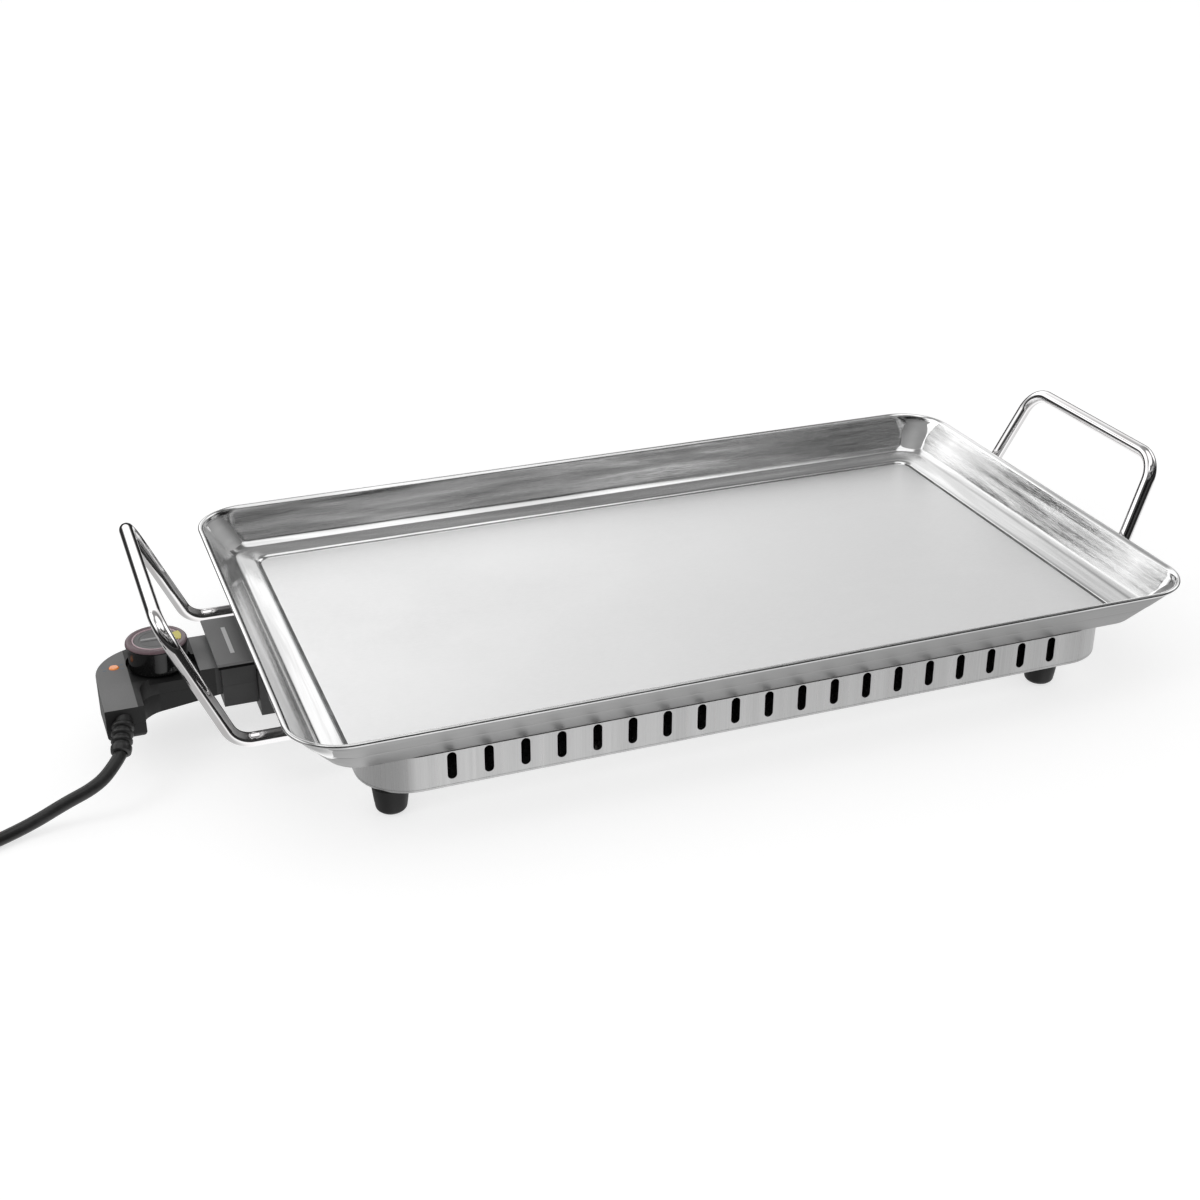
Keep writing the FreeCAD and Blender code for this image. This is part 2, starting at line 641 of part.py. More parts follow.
def bimetal_strip():
    return box(-299.0, -178.0, -1.6, 1.6, PROBE_Z - 0.4, PROBE_Z + 0.4)


def contact_sleeves():
    ends = [(V(-279.2, y, PIN_Z), V(-264.5, y, PIN_Z)) for y in (-PIN_Y, PIN_Y)]
    return group(ring(start, end, 4.3, PIN_RADIUS + 0.05) for start, end in ends)


def earth_clip():
    """Two leaves that take the earth blade between them, joined at the back."""
    clip = box(-278.6, -266.0, -2.5, 2.5, 39.9, 42.3)
    return clip.cut(box(-277.8, -265.0, -3, 3, 40.4, 41.8))


def switch_frame():
    plate = box(-325.0, -299.0, -9.0, 9.0, 38.0, 39.4)
    leg = box(-325.0, -323.6, -9.0, 9.0, 28.5, 38.5)
    return plate.fuse(leg).cut(rod(V(KNOB_X, 0, 37), V(KNOB_X, 0, 41), SHAFT_RADIUS + 0.05)).removeSplitter()


def contact_blades():
    """Two leaf springs held one above the other in an insulating block."""
    blades = []
    for z in (31.4, 29.4):
        blades.append(box(-323.4, -302.0, -2.5, 2.5, z, z + 0.4))
    return group(blades)


def neon_lens():
    lens = rod(V(-336.5, -1.3, 43.7), V(-336.5, -1.3, 46.9), 2.8)
    top = [e for e in lens.Edges if e.BoundBox.ZMin > 46.8 and len(e.Vertexes) == 1]
    return lens.makeFillet(0.8, top)


def neon_lamp():
    return rod(V(-336.5, -1.3, 36.8), V(-336.5, -1.3, 43.4), 2.2)


def cord_clamp():
    return box(-344.5, -331.5, -20.0, -14.0, 36.3, 43.0)


def knob():
    """A round knob with three shallow grip flutes and a seat for its ring and face."""
    height = KNOB_SHOULDER - KNOB_BOTTOM
    body = Part.makeCone(KNOB_FOOT_RADIUS, KNOB_RADIUS, height, V(KNOB_X, 0, KNOB_BOTTOM))
    for angle in (-65, 55, 175):
        turn = math.radians(angle)
        centre = V(KNOB_X + 18.8 * math.cos(turn), 18.8 * math.sin(turn), KNOB_BOTTOM + 1.5)
        body = body.cut(Part.makeCylinder(4.2, height - 4.0, centre))
    hollow = ring(V(KNOB_X, 0, KNOB_BOTTOM), V(KNOB_X, 0, KNOB_BOTTOM + 8), 12.5, 5.5)
    shaft = Part.makeCylinder(SHAFT_RADIUS + 0.02, 8, V(KNOB_X, 0, KNOB_BOTTOM))
    return body.cut(hollow).cut(shaft)


def knob_ring():
    height = KNOB_TOP - 0.3 - KNOB_SHOULDER
    outer = Part.makeCone(KNOB_RADIUS, KNOB_RADIUS - 1.0, height, V(KNOB_X, 0, KNOB_SHOULDER))
    return outer.cut(Part.makeCylinder(12.6, 5, V(KNOB_X, 0, KNOB_SHOULDER - 1)))


def knob_insert():
    disc = Part.makeCylinder(12.5, KNOB_TOP - 0.6 - KNOB_SHOULDER, V(KNOB_X, 0, KNOB_SHOULDER))
    bar = box(KNOB_X - 8, KNOB_X + 11, -0.8, 0.8, KNOB_SHOULDER + 0.5, KNOB_TOP)
    return disc.fuse(bar).removeSplitter()


def knob_shaft():
    return rod(V(KNOB_X, 0, 32.3), V(KNOB_X, 0, KNOB_BOTTOM + 8), SHAFT_RADIUS)


# ---------------------------------------------------------------- lead
def strain_relief():
    """A tapered sleeve with ribs, from its seat in the end of the tail to where the lead leaves."""
    axis = relief_axis()
    length = (CORD_ROUTE[0] - RELIEF_START).Length
    sleeve = Part.makeCone(4.7, 4.2, length + 5.0, RELIEF_START - axis * 5.0, axis)
    for place in (0.25, 0.5, 0.75):
        rib = RELIEF_START + axis * (length * place)
        sleeve = sleeve.fuse(Part.makeCylinder(5.4, 1.6, rib, axis))
    return sleeve.fuse(Part.makeCylinder(5.2, 2.2, CORD_ROUTE[0] - axis * 2.2, axis)).removeSplitter()


def cord_tube(name, points):
    radii = cord_radii(points)
    print(name, "arc radii", [round(radius, 1) for radius in radii])
    path = bent_path(points, radii)
    tube = swept_rod(path, CORD_RADIUS)
    print(name, "volume ratio", round(tube.Volume / (math.pi * CORD_RADIUS ** 2 * path.Length), 4))
    return tube


def cord_coil():
    base = COIL_CENTRE
    top = COIL_CENTRE + V(0, 0, COIL_HEIGHT)
    coil = ring(base, top, COIL_OUTER, COIL_INNER)
    return coil.makeFillet(3.0, [e for e in coil.Edges if len(e.Vertexes) == 1])


def coil_tie():
    """A flat tie over the coil, clear of the table."""
    x = COIL_CENTRE.x + (COIL_INNER + COIL_OUTER) / 2
    y = COIL_CENTRE.y
    return box(x - 10.5, x + 10.5, y - 3, y + 3, COIL_HEIGHT + 0.1, COIL_HEIGHT + 1.1)


def plug_axis_point(y):
    return V(TAIL_ROUTE[-1].x, y, PLUG_RADIUS)


def plug_relief():
    return Part.makeCone(4.2, 6.5, PLUG_BODY_START - TAIL_ROUTE[-1].y, TAIL_ROUTE[-1], V(0, 1, 0))


def mains_plug():
    """A round earthed plug lying on its side, with its pins towards +Y."""
    neck = Part.makeCone(9.0, 16.0, 14.0, plug_axis_point(PLUG_BODY_START), V(0, 1, 0))
    body = rod(plug_axis_point(PLUG_BODY_START + 14.0), plug_axis_point(PLUG_BODY_END), PLUG_RADIUS)
    plug = neck.fuse(body)
    for side in (-1, 1):
        side_x = TAIL_ROUTE[-1].x + side * PLUG_PIN_SPACING / 2
        plug = plug.cut(rod(
            V(side_x, PLUG_BODY_END - 12, PLUG_RADIUS), V(side_x, PLUG_BODY_END, PLUG_RADIUS), PLUG_PIN_RADIUS + 0.02
        ))
    return plug


def plug_pins():
    pins = []
    for side in (-1, 1):
        side_x = TAIL_ROUTE[-1].x + side * PLUG_PIN_SPACING / 2
        tip = PLUG_BODY_END + PLUG_PIN_LENGTH
        pin = rod(V(side_x, PLUG_BODY_END - 11.5, PLUG_RADIUS), V(side_x, tip, PLUG_RADIUS), PLUG_PIN_RADIUS)
        end = [e for e in pin.Edges if e.BoundBox.YMin > tip - 0.01 and len(e.Vertexes) == 1]
        pins.append(pin.makeFillet(1.6, end))
    return group(pins)


# ---------------------------------------------------------------- writing the nodes
def save(name, shape):
    moved = shape.copy()
    moved.translate(V(-ORIGIN_X, 0, 0))
    if not moved.isValid():
        print("not valid:", name)
    moved.exportStep(f"parts/{name}.step")
    size = moved.BoundBox
    print(f"{name:26s} solids {len(moved.Solids):2d}  {size.XLength:7.1f} {size.YLength:7.1f} {size.ZLength:7.1f}")


os.makedirs("parts", exist_ok=True)

for builder in (
    cooking_tray, under_tray, base_skirt, bottom_cover, foot_screws, corner_posts, cover_screws,
    heating_element, heat_plate, clamp_screws, heat_shield, insulation_pad,
    inlet_housing, inlet_hood, inlet_pins, inlet_bushes, earth_blade, inlet_screws, probe_guide,
    thermostat_top_shell, thermostat_bottom_shell, shell_screws, probe_tube, bimetal_strip,
    contact_sleeves, earth_clip, switch_frame, contact_blades, neon_lens, neon_lamp, cord_clamp,
    knob, knob_ring, knob_insert, knob_shaft,
    strain_relief, cord_coil, coil_tie, plug_relief, mains_plug, plug_pins,
):
    save(builder.__name__, builder())

for foot_name, (foot_x, foot_y) in FEET.items():
    save(foot_name, foot(foot_x, foot_y))

for handle_side, end_sign in (("left", -1), ("right", 1)):
    save(f"handle_{handle_side}", handle(handle_side))
    save(f"handle_stiffener_{handle_side}", handle_stiffener(end_sign))

save("handle_nuts_outer", handle_nuts(BASE_HALF_X + 0.05))
save("handle_nuts_inner", handle_nuts(BASE_HALF_X - SHEET - STIFFENER - NUT_HEIGHT - 0.05))
save("element_clamps", group(element_clamp(x, y) for x, y in CLAMP_PLACES))
save("cord_lead", cord_tube("cord_lead", CORD_ROUTE))
save("cord_tail", cord_tube("cord_tail", TAIL_ROUTE))
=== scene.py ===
import math

import bmesh
import bpy
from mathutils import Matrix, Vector


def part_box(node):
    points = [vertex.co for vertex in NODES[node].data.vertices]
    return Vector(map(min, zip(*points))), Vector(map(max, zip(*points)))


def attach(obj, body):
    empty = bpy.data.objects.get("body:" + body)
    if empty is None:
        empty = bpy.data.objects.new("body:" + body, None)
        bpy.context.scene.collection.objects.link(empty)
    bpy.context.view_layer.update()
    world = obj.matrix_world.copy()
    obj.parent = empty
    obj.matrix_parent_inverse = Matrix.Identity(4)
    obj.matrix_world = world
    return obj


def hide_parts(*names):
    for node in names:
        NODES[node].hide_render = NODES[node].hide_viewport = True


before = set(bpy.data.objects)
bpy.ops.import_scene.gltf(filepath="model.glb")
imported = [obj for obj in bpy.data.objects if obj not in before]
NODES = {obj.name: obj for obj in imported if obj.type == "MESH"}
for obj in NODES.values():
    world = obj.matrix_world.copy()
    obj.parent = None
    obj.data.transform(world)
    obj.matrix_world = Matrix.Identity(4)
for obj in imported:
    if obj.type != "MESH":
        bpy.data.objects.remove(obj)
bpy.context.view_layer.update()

MM = 0.001


def centre_of(node):
    low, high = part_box(node)
    return (low + high) / 2


PAN_X = centre_of("cooking_tray").x


def at(x, y, z):
    """A point given in millimetres from the middle of the tray, on the table."""
    return Vector((x * MM + PAN_X, y * MM, z * MM))


# ---------------------------------------------------------------- camera
# Solved from the photo's straight edges: place in metres, tilt and turn in degrees.
CAMERA_PLACE = (-0.375, -0.8989, 0.5128)
CAMERA_DOWN, CAMERA_TURN = 26.33, -20.69
CAMERA_LENS = 52.815

camera_data = bpy.data.cameras.new("camera")
camera_data.lens = CAMERA_LENS
camera_data.sensor_width = 36.0
camera_data.clip_end = 60.0
camera = bpy.data.objects.new("camera", camera_data)
camera.location = CAMERA_PLACE
camera.rotation_euler = (math.radians(90 - CAMERA_DOWN), 0.0, math.radians(CAMERA_TURN))
bpy.context.collection.objects.link(camera)
bpy.context.scene.camera = camera


# ---------------------------------------------------------------- materials
class Graph:
    """A node tree, with short calls for noise, ranges, sums and mixes."""

    def __init__(self, tree):
        self.tree = tree

    def node(self, kind, **settings):
        made = self.tree.nodes.new("ShaderNode" + kind)
        for key, value in settings.items():
            setattr(made, key, value)
        return made

    def join(self, source, target):
        self.tree.links.new(source, target)

    def feed(self, value, socket):
        """Sets a number or a colour on the socket, or links an output to it."""
        if isinstance(value, tuple):
            socket.default_value = (*value, 1.0)
        elif isinstance(value, (int, float)):
            socket.default_value = value
        else:
            self.join(value, socket)

    def stretched(self, vector, scale):
        mapping = self.node("Mapping")
        mapping.inputs["Scale"].default_value = scale
        self.join(vector, mapping.inputs["Vector"])
        return mapping.outputs["Vector"]

    def axes(self, vector):
        """The three numbers of a vector."""
        made = self.node("SeparateXYZ")
        self.join(vector, made.inputs["Vector"])
        return [made.outputs[axis] for axis in "XYZ"]

    def noise(self, vector, scale=1.0, detail=3.0, rough=0.5, warp=0.0):
        made = self.node("TexNoise")
        made.inputs["Scale"].default_value = scale
        made.inputs["Detail"].default_value = detail
        made.inputs["Roughness"].default_value = rough
        made.inputs["Distortion"].default_value = warp
        self.join(vector, made.inputs["Vector"])
        return made.outputs["Fac"]

    def span(self, value, low, high, start=0.3, end=0.7):
        """value taken from start..end to low..high."""
        made = self.node("MapRange", interpolation_type="SMOOTHSTEP")
        for key, number in (("From Min", start), ("From Max", end), ("To Min", low), ("To Max", high)):
            made.inputs[key].default_value = number
        self.join(value, made.inputs["Value"])
        return made.outputs["Result"]

    def maths(self, operation, first, second):
        made = self.node("Math", operation=operation)
        self.feed(first, made.inputs[0])
        self.feed(second, made.inputs[1])
        return made.outputs["Value"]

    def mix(self, factor, first, second, kind="FLOAT"):
        """first where the factor is 0, second where it is 1."""
        made = self.node("Mix", data_type=kind)
        for key, value in (("Factor", factor), ("A", first), ("B", second)):
            self.feed(value, made.inputs[key])
        return made.outputs["Result"]

    def blend(self, factor, first, second):
        """mix for colours."""
        return self.mix(factor, first, second, kind="RGBA")


class Shader(Graph):
    """A node material."""

    def __init__(self, name, **sockets):
        self.mat = bpy.data.materials.new(name)
        self.mat.use_nodes = True
        super().__init__(self.mat.node_tree)
        self.out = self.tree.nodes["Principled BSDF"]
        for key, value in sockets.items():
            self.out.inputs[key.replace("_", " ")].default_value = value

    def coords(self, scale=(1, 1, 1), uv=False):
        return self.stretched(self.node("TexCoord").outputs["UV" if uv else "Object"], scale)

    def set(self, key, source):
        self.join(source, self.out.inputs[key])

    def bump(self, height, distance, strength=1.0, before=None):
        made = self.node("Bump")
        made.inputs["Distance"].default_value = distance
        made.inputs["Strength"].default_value = strength
        self.join(height, made.inputs["Height"])
        if before is not None:
            self.join(before, made.inputs["Normal"])
        self.join(made.outputs["Normal"], self.out.inputs["Normal"])
        return made.outputs["Normal"]


def grey(value, warm=0.0):
    """A grey, with warm as the part that its red gains and its blue loses."""
    return (value * (1 + warm), value, value * (1 - warm))


def polished_steel():
    """Pressed stainless sheet, buffed along the rim, with a slight waviness; the lines and clouds in its
    colour are partly polishing marks and partly painted reflection.
    """
    s = Shader("steel_polished", Metallic=1.0)
    polish_streaks_and_reflection = s.noise(s.coords((9, 260, 1), uv=True), detail=3.0, rough=0.55, warp=0.6)
    clouds = s.noise(s.coords((6, 60, 1), uv=True), detail=3.0, rough=0.6, warp=0.8)
    # Partly painted reflection: the clouds and lines below darken and lighten the colour as the walls'
    # reflections do.
    shade = s.blend(s.span(clouds, 0.0, 1.0, 0.36, 0.62), grey(0.66), grey(0.91))
    s.set("Base Color", s.blend(s.span(polish_streaks_and_reflection, 0.0, 0.40), shade, grey(0.80)))
    s.set("Roughness", s.span(polish_streaks_and_reflection, 0.07, 0.17))
    wave = s.noise(s.coords((8, 55, 1), uv=True), detail=1.5)
    coarse = s.bump(wave, 0.0011, 0.5)
    fine = s.noise(s.coords((60, 4200, 1), uv=True), detail=2.0)
    s.bump(fine, 0.00003, 0.6, before=coarse)
    return s.mat


def satin_floor():
    """The cooking surface: fine satin grain, faint rub marks and clouding."""
    s = Shader("steel_satin", Metallic=1.0)
    grain = s.noise(s.coords((300, 1100, 1100)), detail=3.0, rough=0.6)
    clouds = s.noise(s.coords((7, 9, 1)), detail=3.0, rough=0.55, warp=0.5)
    shade = s.blend(s.span(clouds, 0.0, 1.0), grey(0.86), grey(0.91))
    s.set("Base Color", s.blend(s.span(grain, 0.0, 0.2), shade, grey(0.82)))
    s.set("Roughness", s.maths("ADD", s.span(clouds, 0.36, 0.44), s.span(grain, 0.0, 0.05)))
    s.bump(grain, 0.00004, 0.35)
    return s.mat


def brushed(name, value, scale, rough=(0.26, 0.40), depth=0.00005, contrast=0.16):
    """Brushed sheet: noise drawn out along the brushing direction."""
    s = Shader(name, Metallic=1.0)
    lines = s.noise(s.coords(scale), detail=4.0, rough=0.65)
    # The broad noise varies the tone at random; on the skirt its contrast is high enough to paint
    # reflection bands.
    broad = s.noise(s.coords(tuple(part / 12 for part in scale)), detail=2.0)
    shade = s.blend(s.span(lines, 0.0, 1.0), grey(value * (1 - contrast)), grey(value))
    s.set("Base Color", s.blend(s.span(broad, 0.0, 0.6), shade, grey(value * (1 + contrast / 2))))
    s.set("Roughness", s.span(lines, *rough))
    s.bump(lines, depth, 0.5)
    return s.mat


def plated(name, base, rough=(0.12, 0.28)):
    """Zinc- or nickel-plated metal with small handling marks."""
    s = Shader(name, Metallic=1.0)
    marks = s.noise(s.coords((420, 420, 420)), detail=4.0, rough=0.6, warp=0.4)
    dull = tuple(part * 0.78 for part in base)
    s.set("Base Color", s.blend(s.span(marks, 0.0, 1.0), dull, base))
    s.set("Roughness", s.span(marks, *rough))
    s.bump(marks, 0.00003, 0.4)
    return s.mat


def chrome():
    s = Shader("chrome_wire", Metallic=1.0)
    film = s.noise(s.coords((60, 60, 60)), detail=3.0, rough=0.5)
    s.set("Base Color", s.blend(s.span(film, 0.0, 1.0), (0.90, 0.875, 0.875), (0.95, 0.945, 0.95)))
    s.set("Roughness", s.span(film, 0.06, 0.10))
    s.bump(film, 0.00002, 0.1)
    return s.mat


def plastic(name, colour, rough=(0.38, 0.5), grain=2600.0, depth=0.00004, gloss=0.5, lift=1.35):
    """Moulded plastic with a spark-eroded grain and slightly uneven tone."""
    s = Shader(name, Specular_IOR_Level=gloss)
    fine = s.noise(s.coords((grain, grain, grain)), detail=2.0, rough=0.7)
    broad = s.noise(s.coords((55, 55, 55)), detail=3.0)
    lighter = tuple(min(1.0, part * lift) for part in colour)
    tone = s.blend(s.span(broad, 0.0, 0.6), colour, lighter)
    s.set("Base Color", s.blend(s.span(fine, 0.0, 0.35), tone, lighter))
    s.set("Roughness", s.span(broad, *rough))
    s.bump(fine, depth, 0.6)
    return s.mat


# Where the knob's well and the head begin and end along X, in millimetres, and the heights
# over which the charcoal of the top faces sets in, in metres
WELL_LEFT, WELL_RIGHT, HEAD_LEFT = -329.7, -292.4, -284.25
CHARCOAL_FROM, CHARCOAL_FULL = 0.0438, 0.0444


def charcoal_facing_up_case():
    """The thermostat's two shells: charcoal on the faces that point up, high on the case and beside the
    well; darker elsewhere.
    """
    s = Shader("case_charcoal_facing_up", Specular_IOR_Level=0.4)
    where = s.node("TexCoord")
    across, _, height = s.axes(where.outputs["Object"])
    facing_up = s.axes(where.outputs["Normal"])[2]

    def beyond(edge_x, before, after, soft):
        return s.span(across, before, after, at(edge_x - soft, 0, 0).x, at(edge_x + soft, 0, 0).x)

    top_face = s.maths("MULTIPLY", s.span(facing_up, 0.0, 1.0, 0.86, 0.97),
                       s.span(height, 0.0, 1.0, CHARCOAL_FROM, CHARCOAL_FULL))
    beside_well = s.maths("ADD", beyond(WELL_LEFT, 1.0, 0.0, 0.2), beyond(WELL_RIGHT, 0.0, 1.0, 0.2))
    on_head = beyond(HEAD_LEFT, 0.0, 1.0, 0.25)
    fine = s.noise(s.coords((2600, 2600, 2600)), detail=2.0, rough=0.7)
    broad = s.noise(s.coords((45, 45, 45)), detail=3.0)
    black = s.blend(s.span(broad, 0.0, 1.0), grey(0.009), grey(0.015))
    black = s.blend(on_head, black, grey(0.042))
    charcoal = s.blend(s.span(broad, 0.0, 1.0), grey(0.150), grey(0.175))
    charcoal = s.blend(s.span(fine, 0.0, 0.5), charcoal, grey(0.205))
    s.set("Base Color", s.blend(s.maths("MULTIPLY", top_face, beside_well), black, charcoal))
    s.set("Roughness", s.span(broad, 0.42, 0.56))
    s.bump(fine, 0.00005, 0.7)
    return s.mat


def rubber(name, value, rough=(0.42, 0.58), gloss=0.45):
    s = Shader(name, Specular_IOR_Level=gloss)
    fine = s.noise(s.coords((1500, 1500, 1500)), detail=3.0, rough=0.6)
    dust = s.noise(s.coords((70, 70, 70)), detail=4.0, rough=0.6)
    s.set("Base Color", s.blend(s.span(dust, 0.0, 1.0, 0.4, 0.75), grey(value), grey(value * 1.8)))
    s.set("Roughness", s.span(dust, *rough))
    s.bump(fine, 0.00004, 0.5)
    return s.mat


def heated_metal():
    """Element sheath: dark oxide with straw and blue tints."""
    s = Shader("sheath_oxide", Metallic=1.0)
    tint = s.noise(s.coords((30, 30, 30)), detail=3.0)
    fine = s.noise(s.coords((600, 600, 600)), detail=3.0)
    warm = s.blend(s.span(tint, 0.0, 1.0), (0.20, 0.16, 0.13), (0.30, 0.27, 0.25))
    s.set("Base Color", s.blend(s.span(fine, 0.0, 0.4), warm, (0.16, 0.16, 0.19)))
    s.set("Roughness", s.span(fine, 0.35, 0.55))
    s.bump(fine, 0.00004, 0.5)
    return s.mat


def glass_fibre():
    s = Shader("glass_fibre", Roughness=0.95, Sheen_Weight=0.3)
    fibres = s.noise(s.coords((300, 90, 300)), detail=5.0, rough=0.7, warp=1.2)
    s.set("Base Color", s.blend(s.span(fibres, 0.0, 1.0), (0.62, 0.60, 0.55), (0.86, 0.85, 0.81)))
    s.set("Roughness", s.span(fibres, 0.85, 1.0))
    s.bump(fibres, 0.0005, 0.8)
    return s.mat


def lens(name, colour, glow):
    s = Shader(name, Transmission_Weight=0.25, Coat_Weight=0.6, Emission_Strength=glow)
    ripples = s.noise(s.coords((900, 900, 900)), detail=2.0)
    deeper = tuple(part * 0.75 for part in colour)
    tone = s.blend(s.span(ripples, 0.0, 1.0), deeper, colour)
    s.set("Base Color", tone)
    s.out.inputs["Emission Color"].default_value = (*colour, 1.0)
    s.set("Roughness", s.span(ripples, 0.12, 0.25))
    s.bump(ripples, 0.00003, 0.4)
    return s.mat


POLISHED = polished_steel()
SATIN = satin_floor()
# A dull dark material painted into the groove round the floor as its shade.
GROOVE = rubber("groove_painted_shade", 0.17, rough=(0.6, 0.8), gloss=0.1)
OUTER = brushed("steel_outer", 0.385, (14, 14, 900), rough=(0.36, 0.46), contrast=0.08)
# On the skirt the broad light and dark upright bands in the colour are painted reflection.
SKIRT = brushed("steel_brushed", 0.66, (700, 700, 5), rough=(0.26, 0.40), contrast=0.24)
SHEET = brushed("steel_zinc", 0.50, (300, 30, 300), rough=(0.34, 0.5), contrast=0.2)
SCREW = plated("screw_zinc", grey(0.62, 0.02))
BRASS = plated("nickel_brass", (0.70, 0.64, 0.50))
PLUG_METAL = plated("plug_nickel", grey(0.80, 0.01), rough=(0.10, 0.2))
SHAFT = brushed("steel_turned", 0.62, (300, 300, 2400), rough=(0.2, 0.32), contrast=0.12)
TUBE = brushed("steel_drawn", 0.68, (40, 1600, 1600), rough=(0.16, 0.28), contrast=0.10)
ALUMINIUM = brushed("aluminium_cast", 0.68, (120, 120, 120), rough=(0.42, 0.6), depth=0.0002, contrast=0.14)
CHROME = chrome()
HOOD = plastic("plastic_charcoal", grey(0.135), rough=(0.42, 0.55), lift=1.25)
BLACK_CASE = plastic("plastic_black", grey(0.012), rough=(0.30, 0.44))
HOUSING = plastic("plastic_phenolic", grey(0.044), rough=(0.40, 0.55), gloss=0.4)
# Near black, for the painted shadow under the hood's front edge.
GAP = plastic("painted_shadow_strip", grey(0.003), rough=(0.6, 0.8), gloss=0.1)
KNOB_BLACK = plastic("plastic_gloss_black", grey(0.008), rough=(0.10, 0.2), grain=900.0, depth=0.00001)
KNOB_MAUVE = plastic("plastic_mauve", (0.120, 0.078, 0.088), rough=(0.22, 0.34), grain=1200.0,
                     depth=0.00001)
KNOB_PINK = plastic("plastic_pale_pink", (0.52, 0.40, 0.43), rough=(0.25, 0.35), depth=0.00001)
KNOB_GREY = plastic("plastic_knob_face", grey(0.115), rough=(0.35, 0.48), depth=0.00003)
POINTER = plastic("plastic_pointer", grey(0.30), rough=(0.35, 0.45), depth=0.00001)
YELLOW = plastic("paint_yellow", (0.62, 0.55, 0.12), rough=(0.35, 0.45), depth=0.00001)
PALE_PRINT = plastic("print_pale", grey(0.50), rough=(0.45, 0.6), depth=0.00001)
BLUE_PRINT = plastic("print_blue_grey", (0.10, 0.15, 0.20), rough=(0.45, 0.6), depth=0.00001)
PLUG_BLACK = plastic("plastic_plug", grey(0.016), rough=(0.34, 0.48))
CERAMIC = plastic("ceramic_glaze", (0.80, 0.78, 0.72), rough=(0.12, 0.22), depth=0.00001, lift=1.1)
SHIELD = plastic("enamel_black", grey(0.012), rough=(0.35, 0.5), grain=500.0)
RUBBER = rubber("rubber_foot", 0.008, gloss=0.35)
CORD = rubber("rubber_cord", 0.014, rough=(0.34, 0.46), gloss=0.5)
CASE_CHARCOAL_FACING_UP = charcoal_facing_up_case()
SHEATH = heated_metal()
FIBRE = glass_fibre()
LENS = lens("lens_orange", (0.85, 0.30, 0.06), 0.25)
LAMP = lens("lamp_glass", (0.85, 0.84, 0.80), 0.0)

NODE_MATERIALS = {
    OUTER: ["under_tray"],
    SKIRT: ["base_skirt", "bottom_cover"],
    SHEET: ["corner_posts", "handle_stiffener_left", "handle_stiffener_right", "element_clamps",
            "switch_frame", "earth_blade", "earth_clip"],
    SCREW: ["foot_screws", "cover_screws", "clamp_screws", "inlet_screws", "shell_screws",
            "handle_nuts_outer", "handle_nuts_inner"],
    BRASS: ["inlet_pins", "contact_sleeves", "contact_blades", "bimetal_strip"],
    PLUG_METAL: ["plug_pins"],
    SHAFT: ["knob_shaft"],
    TUBE: ["probe_tube", "probe_guide"],
    ALUMINIUM: ["heat_plate"],
    CHROME: ["handle_left", "handle_right"],
    HOOD: ["inlet_hood"],
    BLACK_CASE: ["cord_clamp"],
    CASE_CHARCOAL_FACING_UP: ["thermostat_top_shell", "thermostat_bottom_shell"],
    HOUSING: ["inlet_housing"],
    CERAMIC: ["inlet_bushes"],
    SHIELD: ["heat_shield"],
    RUBBER: ["foot_front_left", "foot_front_right", "foot_rear_left", "foot_rear_right"],
    SHEATH: ["heating_element"],
    FIBRE: ["insulation_pad"],
    LENS: ["neon_lens"],
    LAMP: ["neon_lamp"],
    POLISHED: ["cooking_tray"],
    CORD: ["cord_lead", "cord_coil", "cord_tail", "strain_relief", "plug_relief", "coil_tie"],
    PLUG_BLACK: ["mains_plug"],
    KNOB_BLACK: ["knob"],
    KNOB_MAUVE: ["knob_ring"],
    KNOB_GREY: ["knob_insert"],
}
for material, names in NODE_MATERIALS.items():
    for name in names:
        for material_slot in NODES[name].material_slots:
            material_slot.material = material


def soften_edges(node, width, segments=3, angle=34):
    """Rounds the sharp edges of a CAD node with modifiers only."""
    obj = NODES[node]
    weld = obj.modifiers.new("weld", "WELD")
    weld.merge_threshold = 0.00001
    flat = obj.modifiers.new("flat", "DECIMATE")
    flat.decimate_type = "DISSOLVE"
    flat.angle_limit = math.radians(0.6)
    bevel = obj.modifiers.new("bevel", "BEVEL")
    bevel.width = width * MM
    bevel.segments = segments
    bevel.limit_method = "ANGLE"
    bevel.angle_limit = math.radians(angle)
    bevel.use_clamp_overlap = True
    bevel.harden_normals = False


# ---------------------------------------------------------------- mesh helpers
def piece(name, mesh, materials, body, replaced, smooth_angle):
    """A visual piece on its body and in its slot, in place of the CAD nodes in replaced."""
    obj = bpy.data.objects.new(name, mesh)
    bpy.context.collection.objects.link(obj)
    for made in materials:
        mesh.materials.append(made)
    for polygon in mesh.polygons:
        polygon.use_smooth = True
    mesh.set_sharp_from_angle(angle=math.radians(smooth_angle))
    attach(obj, body)
    if replaced:
        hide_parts(*replaced)
    return obj


def mesh_from(name, verts, faces):
    mesh = bpy.data.meshes.new(name)
    mesh.from_pydata([tuple(v) for v in verts], [], faces)
    made = bmesh.new()
    made.from_mesh(mesh)
    bmesh.ops.recalc_face_normals(made, faces=made.faces)
    made.to_mesh(mesh)
    made.free()
    return mesh


def frame_on(axis):
    """Two directions at right angles to the axis."""
    axis = axis.normalized()
    side = axis.orthogonal().normalized()
    return side, axis.cross(side)


